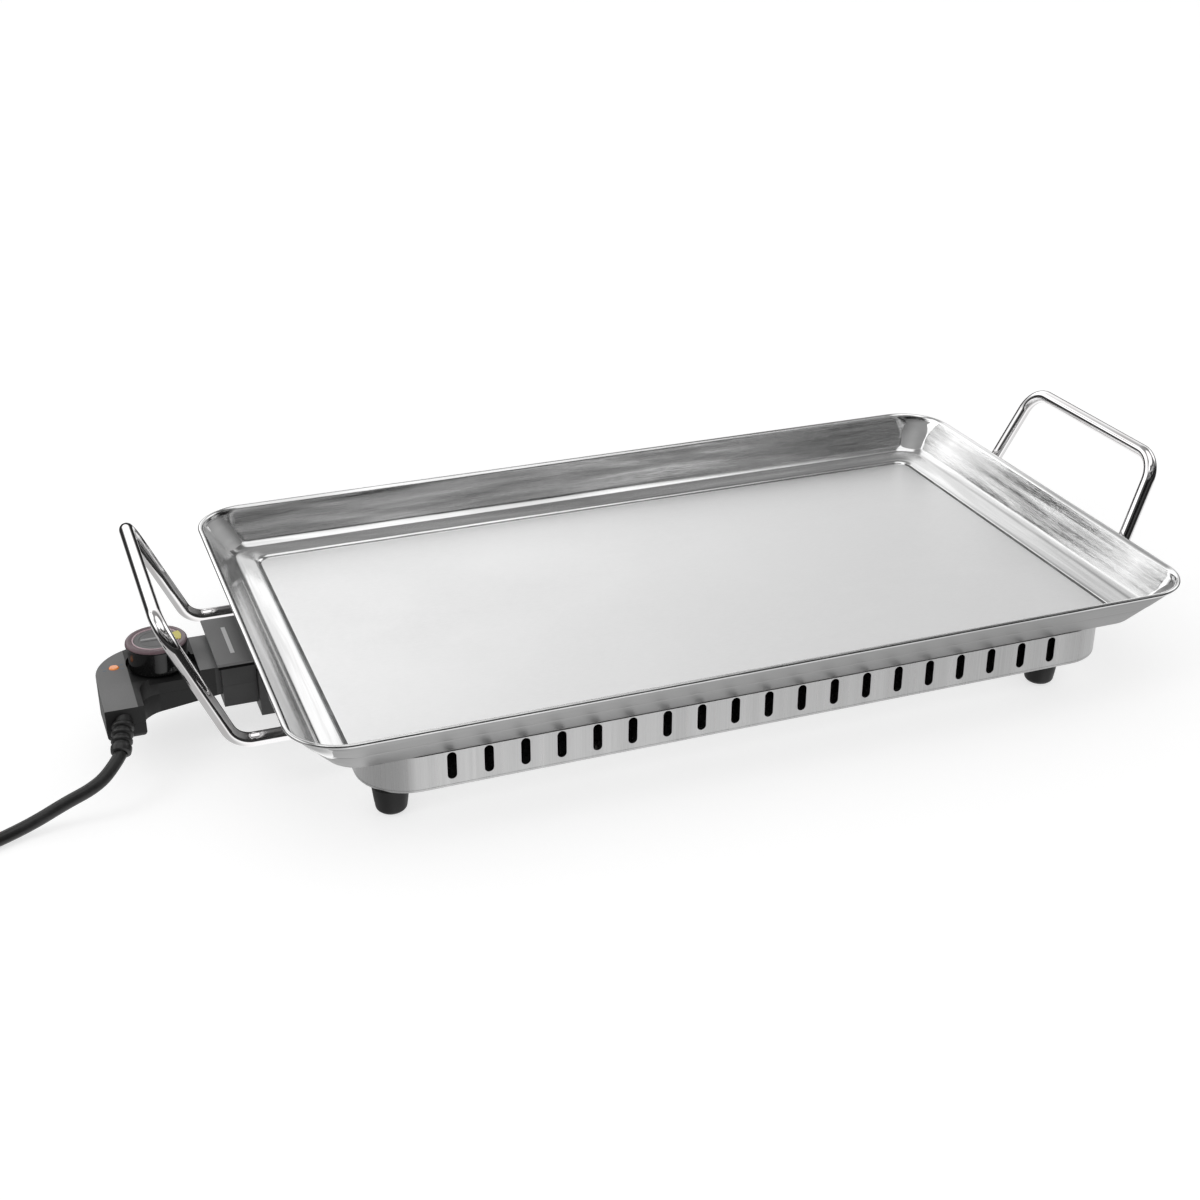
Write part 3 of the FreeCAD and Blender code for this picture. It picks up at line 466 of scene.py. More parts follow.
def lathe(name, origin, axis, profile, segments, shape=None):
    """Turns (radius, height) points in millimetres about an axis; shape may change a radius."""
    side, up = frame_on(axis)
    axis = axis.normalized()
    verts, faces = [], []
    for radius, height in profile:
        for step in range(segments):
            turn = 2 * math.pi * step / segments
            reach = shape(turn, radius, height) if shape else radius
            out = side * math.cos(turn) + up * math.sin(turn)
            verts.append(origin + (out * reach + axis * height) * MM)
    for row in range(len(profile) - 1):
        for step in range(segments):
            a = row * segments + step
            b = row * segments + (step + 1) % segments
            faces.append((a, b, b + segments, a + segments))
    if profile[0] != profile[-1]:
        faces.append(tuple(range(segments))[::-1])
        last = (len(profile) - 1) * segments
        faces.append(tuple(range(last, last + segments)))
    else:
        first = len(verts) - segments
        verts = verts[:first]
        faces = [tuple(i % first for i in face) for face in faces]
    return mesh_from(name, verts, faces)


def rounded(points, radius, steps):
    """A 2-D polyline with every corner rounded except its two ends."""
    out = [points[0]]
    for before, corner, after in zip(points, points[1:], points[2:]):
        a, b, c = Vector(before), Vector(corner), Vector(after)
        reach = min(radius, (a - b).length * 0.45, (c - b).length * 0.45)
        start = b + (a - b).normalized() * reach
        end = b + (c - b).normalized() * reach
        for step in range(steps + 1):
            t = step / steps
            out.append(tuple(start * (1 - t) ** 2 + b * 2 * t * (1 - t) + end * t ** 2))
    out.append(points[-1])
    return out


def corner_ring(half_x, half_y, radius, z, steps=16, straight=10):
    """Points round a rectangle with round corners, all rings alike in number."""
    ring = []
    corners = ((1, -1, -90), (1, 1, 0), (-1, 1, 90), (-1, -1, 180))
    for index, (side_x, side_y, start) in enumerate(corners):
        centre = (side_x * (half_x - radius), side_y * (half_y - radius))
        for step in range(steps + 1):
            turn = math.radians(start + 90 * step / steps)
            ring.append((centre[0] + radius * math.cos(turn), centre[1] + radius * math.sin(turn)))
        following = corners[(index + 1) % 4]
        turn = math.radians(following[2])
        target = (following[0] * (half_x - radius) + radius * math.cos(turn),
                  following[1] * (half_y - radius) + radius * math.sin(turn))
        last = ring[-1]
        for step in range(1, straight):
            t = step / straight
            ring.append((last[0] + (target[0] - last[0]) * t, last[1] + (target[1] - last[1]) * t))
    return [at(x, y, z) for x, y in ring]


def loft(name, levels, bands=None, closed=False):
    """A sheet through rings (half x, half y, radius, z); bands give each gap's material.

    A closed one ends on the ring that it began with; an open one is capped at both ends."""
    rings = [corner_ring(*level) for level in levels]
    count = len(rings[0])
    verts = [v for ring in rings for v in ring]
    faces, marks = [], []
    for row in range(len(rings) - 1):
        for step in range(count):
            a = row * count + step
            b = row * count + (step + 1) % count
            faces.append((a, b, b + count, a + count))
            marks.append(bands[row] if bands else 0)
    if not closed:
        faces.append(tuple(range(count))[::-1])
        last = (len(rings) - 1) * count
        faces.append(tuple(range(last, last + count)))
        marks += [bands[0] if bands else 0, bands[-1] if bands else 0]
    mesh = bpy.data.meshes.new(name)
    mesh.from_pydata([tuple(v) for v in verts], [], faces)
    along = [0.0]
    for step in range(count):
        along.append(along[-1] + (rings[-1][(step + 1) % count] - rings[-1][step]).length)
    across = [0.0]
    for row in range(1, len(rings)):
        across.append(across[-1] + (rings[row][0] - rings[row - 1][0]).length)
    layer = mesh.uv_layers.new(name="sheet")
    for polygon, mark in zip(mesh.polygons, marks):
        polygon.material_index = mark
        wraps = len(polygon.vertices) == 4 and any(i % count == count - 1 for i in polygon.vertices)
        for loop in polygon.loop_indices:
            index = mesh.loops[loop].vertex_index
            column = index % count
            if wraps and column == 0:
                column = count
            layer.data[loop].uv = (along[column], across[index // count])
    made = bmesh.new()
    made.from_mesh(mesh)
    if closed:
        bmesh.ops.remove_doubles(made, verts=made.verts, dist=0.000001)
    bmesh.ops.recalc_face_normals(made, faces=made.faces)
    made.to_mesh(mesh)
    made.free()
    return mesh


def interpolate(value, stops):
    """Straight lines between stops of (value, result)."""
    for (x0, y0), (x1, y1) in zip(stops, stops[1:]):
        if value <= x1:
            return y0 + (y1 - y0) * max(0.0, value - x0) / (x1 - x0)
    return stops[-1][1]


# ---------------------------------------------------------------- lead
CORD_RADIUS = 3.5
RELIEF_START = at(-338.4, -50.0, 37.9)
CORD_ROUTE = [
    at(-342.6, -66.0, 29.0),
    at(-350.0, -76.0, 24.5),
    at(-360.0, -81.0, 20.0),
    at(-374.0, -80.0, 14.0),
    at(-393.0, -79.5, 4.5),
    at(-419.0, -91.5, 3.5),
    at(-449.0, -91.5, 3.5),
]
TAIL_ROUTE = [at(-518.0, -24.0, 10.7), at(-518.0, -8.0, 12.4), at(-518.0, 8.0, 18.0)]
COIL_X, COIL_Y = -476.0, -46.0
LOW_LAYER, HIGH_LAYER = 3.5, 10.5
# Round the coil: (degrees turned, radius) and (degrees turned, height), in millimetres.
TURN_RADII = [(0, 45.5), (300, 45.5), (360, 38.5), (660, 38.5), (720, 31.5), (930, 31.5),
              (1020, 32.5), (1270, 33.0), (1370, 40.6), (1440, 42.0), (1530, 42.0)]
TURN_HEIGHTS = [(0, LOW_LAYER), (930, LOW_LAYER), (1020, HIGH_LAYER), (1530, HIGH_LAYER)]
COIL_STEP = 18
COIL_TURNED = TURN_RADII[-1][0]


def coil_points():
    """Over two and a half turns inwards on the table, then up and outwards over them."""
    points = []
    for turned in range(0, COIL_TURNED + 1, COIL_STEP):
        radius = interpolate(turned, TURN_RADII) / math.cos(math.radians(COIL_STEP / 2)) ** 0.5
        angle = math.radians(-90 - turned)
        points.append(at(COIL_X + radius * math.cos(angle), COIL_Y + radius * math.sin(angle),
                         interpolate(turned, TURN_HEIGHTS)))
    return points


cord_data = bpy.data.curves.new("lead", "CURVE")
cord_data.dimensions = "3D"
cord_data.bevel_depth = CORD_RADIUS * MM
cord_data.bevel_resolution = 6
cord_data.resolution_u = 6
cord_data.use_fill_caps = True
cord_data.materials.append(CORD)
route = CORD_ROUTE + coil_points() + TAIL_ROUTE
spline = cord_data.splines.new("NURBS")
spline.points.add(len(route) - 1)
for point, place in zip(spline.points, route):
    point.co = (*place, 1.0)
spline.order_u = 3
spline.use_endpoint_u = True
lead = bpy.data.objects.new("lead", cord_data)
bpy.context.collection.objects.link(lead)
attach(lead, "thermostat")
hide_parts("cord_lead", "cord_coil", "cord_tail")


def lead_length():
    """Length of the lead's own line, read from its spline."""
    copy = cord_data.copy()
    copy.bevel_depth = 0.0
    holder = bpy.data.objects.new("line", copy)
    line = bpy.data.meshes.new_from_object(holder)
    total = sum((line.vertices[e.vertices[0]].co - line.vertices[e.vertices[1]].co).length
                for e in line.edges)
    bpy.data.objects.remove(holder)
    return total


LEAD_LENGTH = lead_length()
print("lead length", round(LEAD_LENGTH, 3))

relief_axis = CORD_ROUTE[0] - RELIEF_START
relief_length = relief_axis.length / MM
relief_profile = [(3.4, -5.0), (4.7, -5.0), (4.7, 0.6)]
RELIEF_RIBS, RELIEF_PITCH = 4, 4.4
for index in range(RELIEF_RIBS):
    foot_at = 1.0 + index * RELIEF_PITCH
    reach = 5.9 - 0.10 * index
    relief_profile += [(4.5, foot_at), (reach - 0.35, foot_at + 0.25), (reach, foot_at + 0.8),
                       (reach, foot_at + 2.2), (reach - 0.35, foot_at + 2.75), (4.5, foot_at + 3.0)]
relief_profile[-2:] = [(5.3, relief_length - 0.5), (4.4, relief_length)]
relief_profile += [(3.45, relief_length), (3.4, -5.0)]
strain_relief = piece(
    "ribbed_relief", lathe("ribbed_relief", RELIEF_START, relief_axis, relief_profile, 40),
    [CORD], "thermostat", ["strain_relief"], 50,
)

PLUG_AXIS = Vector((0, 1, 0))
plug_start = TAIL_ROUTE[-1]
NECK_RIBS, NECK_PITCH = 5, 4.6
neck_profile = [(3.4, -3.0), (4.2, -3.0), (4.4, 0.0)]
for index in range(NECK_RIBS):
    foot_at = 1.5 + index * NECK_PITCH
    reach = 5.2 + 0.45 * index
    neck_profile += [(reach - 0.9, foot_at), (reach, foot_at + 0.5)]
    neck_profile += [(reach, foot_at + 2.6), (reach - 0.9, foot_at + 3.1)]
neck_profile += [(6.5, 27.9), (3.4, 27.9), (3.4, -3.0)]
plug_relief = piece(
    "plug_relief_ribbed", lathe("plug_relief_ribbed", plug_start, PLUG_AXIS, neck_profile, 40),
    [CORD], "thermostat", ["plug_relief"], 50,
)

GRIP_FROM, GRIP_TO, GRIP_RIBS, GRIP_DEPTH = 14.0, 32.0, 14, 0.7
NECK_LENGTH = 28.0


def plug_grip(turn, radius, height):
    """Grip ribs round the barrel."""
    if GRIP_FROM < height < GRIP_TO and radius > 15:
        return radius - GRIP_DEPTH * max(0.0, math.cos(turn * GRIP_RIBS)) ** 2
    return radius


plug_outline = rounded([(1.0, 0.0), (9.0, 0.0), (9.8, 3.0), (15.6, 12.5), (17.2, 15.0), (17.4, 20.0),
                        (17.4, 26.0), (17.2, 31.0), (18.0, 32.5), (18.0, 37.6), (17.2, 38.0),
                        (15.2, 38.0), (15.0, 37.0), (1.0, 37.0)], 0.8, 3)
plug_base = plug_start + PLUG_AXIS * NECK_LENGTH * MM
plug_body = piece(
    "plug_barrel", lathe("plug_barrel", plug_base, PLUG_AXIS, plug_outline, 112, plug_grip),
    [PLUG_BLACK], "thermostat", ["mains_plug"], 40,
)

STRAP_CORNER, STRAP_STEPS = 2.6, 6


def strap_band(name, cx, cy, half_x, half_z, z_mid, width, thick):
    """A closed strap round an upright cross-section, rounded at its corners."""
    inner, outer = [], []
    for grow, target in ((0.0, inner), (thick, outer)):
        for side_x, side_z, start in ((1, -1, -90), (1, 1, 0), (-1, 1, 90), (-1, -1, 180)):
            radius = STRAP_CORNER + grow
            for step in range(STRAP_STEPS + 1):
                turn = math.radians(start + 90 * step / STRAP_STEPS)
                x = cx + side_x * (half_x - STRAP_CORNER) + radius * math.cos(turn)
                z = z_mid + side_z * (half_z - STRAP_CORNER) + radius * math.sin(turn)
                target.append((x, max(z, 0.05)))
    verts = [at(x, cy + side * width / 2, z)
             for side in (-1, 1) for ring in (inner, outer) for x, z in ring]
    count = len(inner)
    faces = []
    for step in range(count):
        after = (step + 1) % count
        for first, second in ((0, 1), (1, 3), (3, 2), (2, 0)):
            low, high = first * count, second * count
            faces.append((low + step, low + after, high + after, high + step))
    return mesh_from(name, verts, faces)


tie_x = (centre_of("coil_tie").x - PAN_X) / MM
tie = piece(
    "coil_strap",
    strap_band("coil_strap", tie_x, COIL_Y, half_x=11.2, half_z=6.9, z_mid=7.2, width=6.0, thick=0.9),
    [CORD], "thermostat", ["coil_tie"], 50,
)

# ---------------------------------------------------------------- tray
# Outlines across the rim are (inset from the rim, height), and corner radii are
# (inset from the rim, radius), in millimetres.
RIM_X, RIM_Y = 265.0, 157.9
BEAD, BEAD_INSET, BEAD_Z = 1.15, -1.15, 63.85
FLOOR_INSET, GROOVE_INSET, FLOOR_Z = 33.0, 31.1, 40.3
TRAY_RADII = [(-3, 32.5), (0, 30.0), (4, 19.0), (12, 13.0), (17, 14.0), (30.8, 9.0), (34, 7.0), (38, 5.5)]
ON_WALLS, ON_FLOOR, IN_GROOVE = 0, 1, 2
inner_side = rounded([(38.0, FLOOR_Z), (FLOOR_INSET, FLOOR_Z), (32.6, 39.6), (31.6, 39.6), (30.9, 40.7),
                      (29.4, 41.4), (18.6, 43.55), (15.6, 45.9), (9.5, 53.6), (2.4, 62.3), (0.9, 64.2)],
                     1.2, 4)
bead_turns = [math.radians(angle) for angle in range(110, -118, -12)]
bead_side = [(BEAD_INSET - BEAD * math.cos(a), BEAD_Z + BEAD * math.sin(a)) for a in bead_turns]
outer_side = [(1.2, 61.9), (3.0, 60.0), (10.4, 52.3), (16.6, 44.6), (18.8, 42.6), (29.9, 40.2),
              (30.9, 39.2), (38.0, 39.2)]
tray_profile = inner_side + bead_side + outer_side
tray_levels = [(RIM_X - inset, RIM_Y - inset, interpolate(inset, TRAY_RADII), z)
               for inset, z in tray_profile]


def tray_band(inset, z, after):
    """The material between one point of the outline and the next."""
    if inset > FLOOR_INSET - 0.05 and z > FLOOR_Z - 0.1:
        return ON_FLOOR
    over_groove = GROOVE_INSET < (inset + after) / 2 < FLOOR_INSET
    return IN_GROOVE if over_groove and FLOOR_Z - 1.0 < z < FLOOR_Z + 0.5 else ON_WALLS


tray_bands = [tray_band(inset, z, after)
              for (inset, z), (after, _) in zip(tray_profile, tray_profile[1:])]
tray = piece(
    "tray_pressing", loft("tray_pressing", tray_levels, tray_bands), [POLISHED, SATIN, GROOVE],
    "griddle", ["cooking_tray"], 60,
)
# The painted shade lies in the groove's left and right runs only.
groove_half_y = RIM_Y - FLOOR_INSET - 2.2
for polygon in tray.data.polygons:
    if polygon.material_index == IN_GROOVE and abs(polygon.center.y) > groove_half_y * MM:
        polygon.material_index = ON_WALLS

UNDER_X, UNDER_Y = 264.6, 157.5
UNDER_RADII = [(0, 30.0), (19.6, 18.0), (49.7, 12.0)]
under_profile = rounded([(49.6, 37.0), (19.9, 37.0), (9.4, 49.6), (9.2, 50.2), (8.2, 50.8), (0.6, 60.2),
                         (-0.2, 61.9)], 0.9, 3)
under_profile += [(0.6, 61.9), (1.4, 60.3), (8.8, 51.2), (20.3, 37.8), (49.6, 37.8), (49.6, 37.0)]
under_levels = [(UNDER_X - inset, UNDER_Y - inset, interpolate(inset, UNDER_RADII), z)
                for inset, z in under_profile]
piece("under_pressing", loft("under_pressing", under_levels, closed=True), [OUTER],
      "griddle", ["under_tray"], 40)

# ---------------------------------------------------------------- handles
WIRE, LEG_END, LEG_Y, LEG_Z = 4.0, 206.0, 78.0, 30.5
# Each handle: x where its legs bend up, then x, half width and height of its grip.
HANDLES = {"left": (-284.0, -316.0, 71.5, 101.5), "right": (262.5, 296.5, 67.0, 106.0)}
BEND, GRIP_BEND = 14.0, 17.0


def bent_wire(corners, radii, steps=18):
    """Centre line through the corners, each turned on an arc of its radius."""
    line = [corners[0]]
    for before, corner, after, radius in zip(corners, corners[1:], corners[2:], radii):
        back, ahead = (before - corner).normalized(), (after - corner).normalized()
        half = back.angle(ahead) / 2
        centre = corner + (back + ahead).normalized() * (radius * MM / math.sin(half))
        start = corner + back * (radius * MM / math.tan(half)) - centre
        end = corner + ahead * (radius * MM / math.tan(half)) - centre
        for step in range(steps + 1):
            line.append(centre + start.slerp(end, step / steps).normalized() * radius * MM)
    return line + [corners[-1]]


def wire_mesh(name, line, radius, around=28):
    """A round wire along the line, its ring carried on without twist."""
    side = None
    verts, faces = [], []
    for index, place in enumerate(line):
        ahead = line[min(index + 1, len(line) - 1)] - line[max(index - 1, 0)]
        axis = ahead.normalized()
        side = axis.orthogonal() if side is None else side - axis * side.dot(axis)
        side = side.normalized()
        up = axis.cross(side)
        for step in range(around):
            turn = 2 * math.pi * step / around
            verts.append(place + (side * math.cos(turn) + up * math.sin(turn)) * radius * MM)
    for row in range(len(line) - 1):
        for step in range(around):
            a, b = row * around + step, row * around + (step + 1) % around
            faces.append((a, b, b + around, a + around))
    last = (len(line) - 1) * around
    faces += [tuple(range(around))[::-1], tuple(range(last, last + around))]
    return mesh_from(name, verts, faces)


for side_name, (bend_x, grip_x, grip_y, grip_z) in HANDLES.items():
    end_x = math.copysign(LEG_END, bend_x)
    handle_corners = [at(end_x, -LEG_Y, LEG_Z), at(bend_x, -LEG_Y, LEG_Z), at(grip_x, -grip_y, grip_z),
                      at(grip_x, grip_y, grip_z), at(bend_x, LEG_Y, LEG_Z), at(end_x, LEG_Y, LEG_Z)]
    handle_line = bent_wire(handle_corners, [BEND, GRIP_BEND, GRIP_BEND, BEND])
    piece("wire_handle_" + side_name, wire_mesh("wire_handle_" + side_name, handle_line, WIRE),
          [CHROME], "griddle", ["handle_" + side_name], 50)

# ---------------------------------------------------------------- feet
foot_outside = rounded([(4.2, 6.0), (4.2, 0.35), (5.0, 0.0), (6.6, 0.0), (8.4, 1.6), (9.2, 7.0),
                        (10.15, 15.4), (10.0, 16.0), (2.1, 16.0)], 2.0, 5)
foot_recess = [(2.1, 16.0), (2.1, 9.5), (3.7, 9.5), (3.7, 6.0), (4.2, 6.0)]
foot_outline = foot_recess + foot_outside[1:]
for name in ("foot_front_left", "foot_front_right", "foot_rear_left", "foot_rear_right"):
    middle = centre_of(name)
    base = Vector((middle.x, middle.y, 0.0))
    piece("rubber_" + name, lathe("rubber_" + name, base, Vector((0, 0, 1)), foot_outline, 56),
          [RUBBER], "griddle", [name], 50)

# ---------------------------------------------------------------- knob
KNOB_X, KNOB_FOOT = -312.0, 44.0
KNOB_BASE = at(KNOB_X, 0.0, KNOB_FOOT)
UP = Vector((0, 0, 1))
FLUTES = [math.radians(angle) for angle in (-65, 55, 175)]
FLUTE_HALF, FLUTE_DEPTH, FLUTE_FROM, FLUTE_TO = math.radians(15), 2.4, 1.0, 13.0


def angle_on_knob(turn):
    """The lathe's own angle turned into the angle from +X."""
    side, up = frame_on(UP)
    out = side * math.cos(turn) + up * math.sin(turn)
    return math.atan2(out.y, out.x)


def knob_flutes(turn, radius, height):
    """Finger hollows down the side of the knob."""
    if radius < 15.0 or not FLUTE_FROM < height < FLUTE_TO:
        return radius
    for flute in FLUTES:
        away = angle_on_knob(turn) - flute
        sweep = abs(math.atan2(math.sin(away), math.cos(away))) / FLUTE_HALF
        if sweep < 1.0:
            ease = min(1.0, (height - FLUTE_FROM) / 1.5, (FLUTE_TO - height) / 1.2)
            return radius - FLUTE_DEPTH * math.cos(sweep * math.pi / 2) ** 1.2 * ease
    return radius


# Outlines are (radius, height above the knob's foot), in millimetres.
shell_outline = [(12.5, 0.0), (15.9, 0.0), (16.2, 0.3), (16.25, 1.0), (16.3, 1.8), (16.35, 2.6)]
shell_outline += [(16.4 + 0.06 * step, 3.4 + step) for step in range(9)]
shell_outline += [(16.95, 12.2), (17.0, 12.8), (17.05, 13.2), (17.1, 13.8), (17.0, 14.2), (3.0, 14.2)]
shell_outline += [(3.0, 8.0), (12.5, 8.0), (12.5, 0.0)]
piece("knob_barrel", lathe("knob_barrel", KNOB_BASE, UP, shell_outline, 180, knob_flutes),
      [KNOB_BLACK], "knob", ["knob"], 45)
band_outline = rounded([(13.2, 14.2), (17.05, 14.2), (16.9, 14.9), (16.3, 15.6), (15.2, 15.75),
                        (13.3, 15.6), (13.2, 14.2)], 0.25, 3)
piece("knob_band", lathe("knob_band", KNOB_BASE, UP, band_outline, 128),
      [KNOB_MAUVE], "knob", ["knob_ring"], 50)
inlay_outline = [(12.4, 14.2), (13.15, 14.2), (13.15, 15.55), (12.95, 15.8), (12.6, 15.8), (12.4, 15.55),
                 (12.4, 14.2)]
piece("knob_inlay", lathe("knob_inlay", KNOB_BASE, UP, inlay_outline, 128),
      [KNOB_PINK], "knob", (), 50)
face_outline = [(0.2, 14.25), (12.35, 14.25), (12.35, 15.15), (12.0, 15.4), (9.6, 15.4), (9.3, 15.2),
                (9.0, 15.2), (8.7, 15.4), (0.2, 15.4)]
piece("knob_face", lathe("knob_face", KNOB_BASE, UP, face_outline, 96),
      [KNOB_GREY], "knob", ["knob_insert"], 30)


def slab(name, points, z0, z1, inset):
    """A low plate on the outline (millimetres from the tray's middle), chamfered at its top."""
    middle = Vector((sum(p[0] for p in points) / len(points), sum(p[1] for p in points) / len(points)))
    count = len(points)
    verts = [at(x, y, z0) for x, y in points] + [at(x, y, z1 - inset) for x, y in points]
    for x, y in points:
        inward = (middle - Vector((x, y))).normalized() * inset
        verts.append(at(x + inward.x, y + inward.y, z1))
    faces = [tuple(range(count))[::-1], tuple(range(2 * count, 3 * count))]
    for row in (0, 1):
        for step in range(count):
            a, b = row * count + step, row * count + (step + 1) % count
            faces.append((a, b, b + count, a + count))
    return mesh_from(name, verts, faces)


def capsule(x0, x1, y, half, steps=8):
    """The outline of a bar along X with round ends."""
    points = []
    for centre, start in ((x1, -90), (x0, 90)):
        for step in range(steps + 1):
            turn = math.radians(start + 180 * step / steps)
            points.append((centre + half * math.cos(turn), y + half * math.sin(turn)))
    return points


def rectangle(x0, x1, y0, y1):
    return [(x0, y0), (x1, y0), (x1, y1), (x0, y1)]


def sector(inner, outer, half_angle, step=4):
    """The outline of a stretch of ring about the knob's axis, facing +X."""
    turns = [math.radians(angle) for angle in range(-half_angle, half_angle + 1, step)]
    points = [(KNOB_X + inner * math.cos(turn), inner * math.sin(turn)) for turn in turns]
    points += [(KNOB_X + outer * math.cos(turn), outer * math.sin(turn)) for turn in reversed(turns)]
    return points


FACE_TOP = KNOB_FOOT + 15.4
pointer_outline = capsule(KNOB_X - 7.5, KNOB_X + 9.5, 0.0, 0.9)
piece("knob_pointer", slab("knob_pointer", pointer_outline, FACE_TOP - 0.1, FACE_TOP + 0.6, 0.2),
      [POINTER], "knob", (), 30)
piece("knob_mark", slab("knob_mark", sector(9.6, 13.9, 22), FACE_TOP - 0.2, FACE_TOP + 0.55, 0.12),
      [YELLOW], "knob", (), 30)

# ---------------------------------------------------------------- hood and lamp
hood_low, hood_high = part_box("inlet_hood")
HOOD_TOP, HOOD_FRONT, HOOD_LEFT = hood_high.z / MM, hood_low.y / MM, (hood_low.x - PAN_X) / MM
HOOD_RIGHT = -262.2
# A near-black strip under the hood's front edge: painted shadow of the gap above the head.
gap_outline = rectangle(HOOD_LEFT + 0.4, HOOD_RIGHT, HOOD_FRONT - 0.12, HOOD_FRONT + 0.6)
piece("hood_gap_shadow", slab("hood_gap_shadow", gap_outline, HOOD_TOP - 2.9, HOOD_TOP - 1.7, 0.05),
      [GAP], "griddle", (), 30)
strip_outline = rectangle(-274.2, -271.9, -17.0, 16.0)
piece("hood_strip", slab("hood_strip", strip_outline, HOOD_TOP - 0.3, HOOD_TOP + 0.12, 0.05),
      [PALE_PRINT], "griddle", (), 30)

LAMP_X, LAMP_Y, CASE_TOP = -336.5, -1.3, 46.3
TICK_HALF_X, TICK_HALF_Y = 0.9, 0.35
for number, (dx, dy) in enumerate(((-5.2, 1.9), (-5.2, -1.9), (4.4, 2.4), (4.4, -2.4))):
    x, y = LAMP_X + dx, LAMP_Y + dy
    tick = rectangle(x - TICK_HALF_X, x + TICK_HALF_X, y - TICK_HALF_Y, y + TICK_HALF_Y)
    tick_name = "lamp_tick_%d" % number
    piece(tick_name, slab(tick_name, tick, CASE_TOP - 0.3, CASE_TOP + 0.06, 0.02),
          [BLUE_PRINT], "thermostat", (), 30)

EDGE_WIDTHS = {"thermostat_top_shell": 0.9, "thermostat_bottom_shell": 0.9, "inlet_hood": 0.5,
               "inlet_housing": 0.8}
for node_name, width in EDGE_WIDTHS.items():
    soften_edges(node_name, width)

# ---------------------------------------------------------------- table and light
floor_mesh = bpy.data.meshes.new("table")
floor_mesh.from_pydata([(-12, -12, 0), (12, -12, 0), (12, 12, 0), (-12, 12, 0)], [], [(0, 1, 2, 3)])
table = Shader("table_white", Roughness=0.7, Specular_IOR_Level=0.1, Emission_Strength=0.66)
table.out.inputs["Base Color"].default_value = (0.50, 0.50, 0.50, 1.0)
table.out.inputs["Emission Color"].default_value = (1.0, 1.0, 1.0, 1.0)
floor_mesh.materials.append(table.mat)
floor = bpy.data.objects.new("table", floor_mesh)
bpy.context.collection.objects.link(floor)
floor.location.z = -0.0005
floor.visible_glossy = False

# What the steel mirrors, by direction (x right, y back, z up): strengths of the surroundings
BACK_STRENGTH, BACK_FAR, CEILING, WALL_STREAK = 1.72, 0.34, 1.5, 0.8
EVEN_LIGHT, BACKDROP = 0.82, 1.25
SPOTS = (  # towards, cosine where it begins, cosine where it is full, strength
    ((0.83, 0.20, 0.52), 0.940, 0.975, 1.7),
    ((-0.513, -0.20, 0.837), 0.970, 0.992, 1.9),
    ((-0.63, 0.50, 0.60), 0.955, 0.985, 1.6),
    ((-0.493, 0.747, 0.4465), 0.9975, 0.9995, 0.05),
    ((0.472, -0.518, 0.713), 0.9955, 0.9990, 0.08),
)

world = bpy.data.worlds.new("studio")
bpy.context.scene.world = world
world.use_nodes = True
world.node_tree.nodes.clear()
sky = Graph(world.node_tree)
direction = sky.node("TexCoord").outputs["Generated"]
across, depth, height = sky.axes(direction)


def sky_spot(towards, wide, full):
    """1 inside a soft round patch of the surroundings, 0 outside."""
    dot = sky.node("VectorMath", operation="DOT_PRODUCT")
    dot.inputs[1].default_value = Vector(towards).normalized()
    sky.join(direction, dot.inputs[0])
    return sky.span(dot.outputs["Value"], 0.0, 1.0, wide, full)


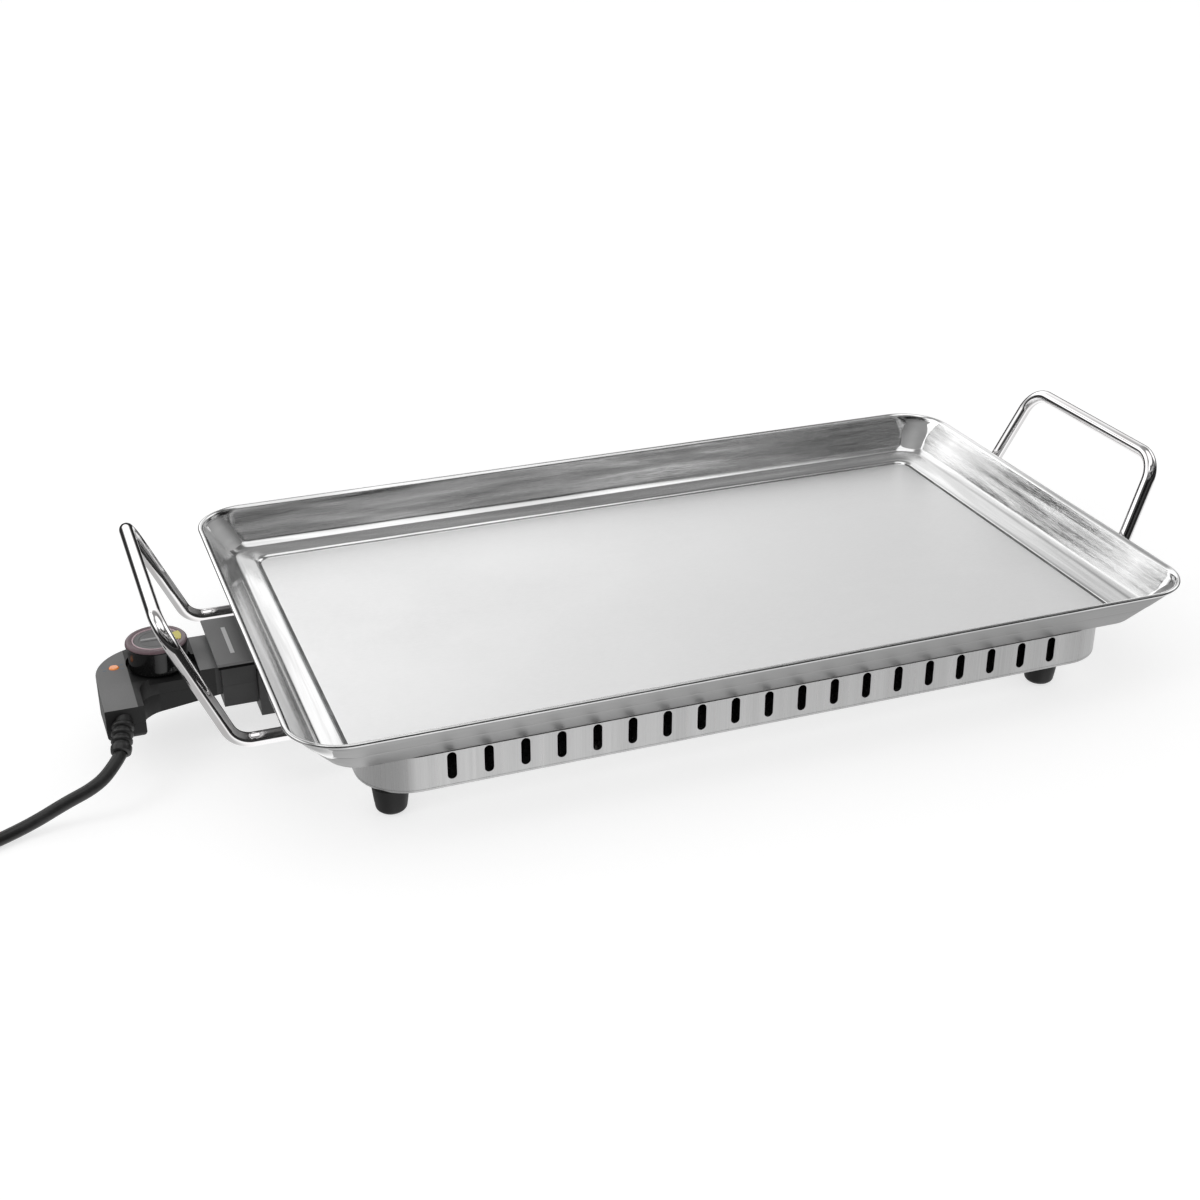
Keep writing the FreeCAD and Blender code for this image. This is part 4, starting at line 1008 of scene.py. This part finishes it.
# Behind it is bright, less so high up and to the right. In front is a dark room with dim bands.
bands = sky.noise(sky.stretched(direction, (1.5, 4.0, 11.0)), scale=1.7, detail=2.0)
back = sky.maths("MULTIPLY", sky.span(height, BACK_STRENGTH, BACK_FAR, 0.50, 0.74),
                 sky.span(across, 1.10, 0.62, 0.05, 0.60))
front = sky.maths("MULTIPLY", sky.span(depth, 1.0, 0.0, -0.30, 0.05),
                  sky.span(height, 0.0, 1.0, 0.08, 0.20))
room = sky.maths("MULTIPLY", sky.span(bands, 0.012, 0.62, 0.42, 0.66),
                 sky.span(height, 0.04, 1.0, 0.35, 0.60))
surround = sky.mix(front, back, room)
surround = sky.mix(sky.span(height, 0.0, 1.0, 0.885, 0.925), surround, CEILING)
streak = sky.maths("MULTIPLY", sky.span(height, 0.0, 1.0, 0.715, 0.735),
                   sky.span(height, 1.0, 0.0, 0.75, 0.77))
streak = sky.maths("MULTIPLY", streak, sky.span(depth, 1.0, 0.0, -0.45, -0.35))
surround = sky.mix(streak, surround, WALL_STREAK)
for towards, wide, full, strength in SPOTS:
    surround = sky.mix(sky_spot(towards, wide, full), surround, strength)

# Dark at the horizon, then the white table below it
surround = sky.maths("MULTIPLY", surround, sky.span(height, 0.02, 1.0, 0.10, 0.30))
table_seen = sky.maths("MULTIPLY", sky.span(across, 0.62, 1.32, -0.35, 0.10),
                       sky.span(across, 1.0, 0.72, 0.20, 0.50))
surround = sky.mix(sky.span(height, 1.0, 0.0, -0.36, -0.28), surround, table_seen)

rays = sky.node("LightPath").outputs
strength_seen = sky.mix(rays["Is Glossy Ray"], EVEN_LIGHT, surround)
strength_seen = sky.mix(rays["Is Camera Ray"], strength_seen, BACKDROP)
background = sky.node("Background")
sky.join(strength_seen, background.inputs["Strength"])
output = sky.node("OutputWorld")
sky.join(background.outputs["Background"], output.inputs["Surface"])

key_place, key_target = Vector((-1.6, -0.4, 1.5)), Vector((0, 0, 0.05))
key_data = bpy.data.lights.new("key_left", "AREA")
key_data.shape = "RECTANGLE"
key_data.size, key_data.size_y = 0.8, 1.2
key_data.energy = 7.0
key_left = bpy.data.objects.new("key_left", key_data)
key_left.location = key_place
key_left.rotation_euler = (key_target - key_place).to_track_quat("-Z", "Y").to_euler()
key_left.visible_glossy = False
bpy.context.collection.objects.link(key_left)
bpy.context.scene.view_settings.view_transform = "Standard"
bpy.context.scene.view_settings.look = "None"
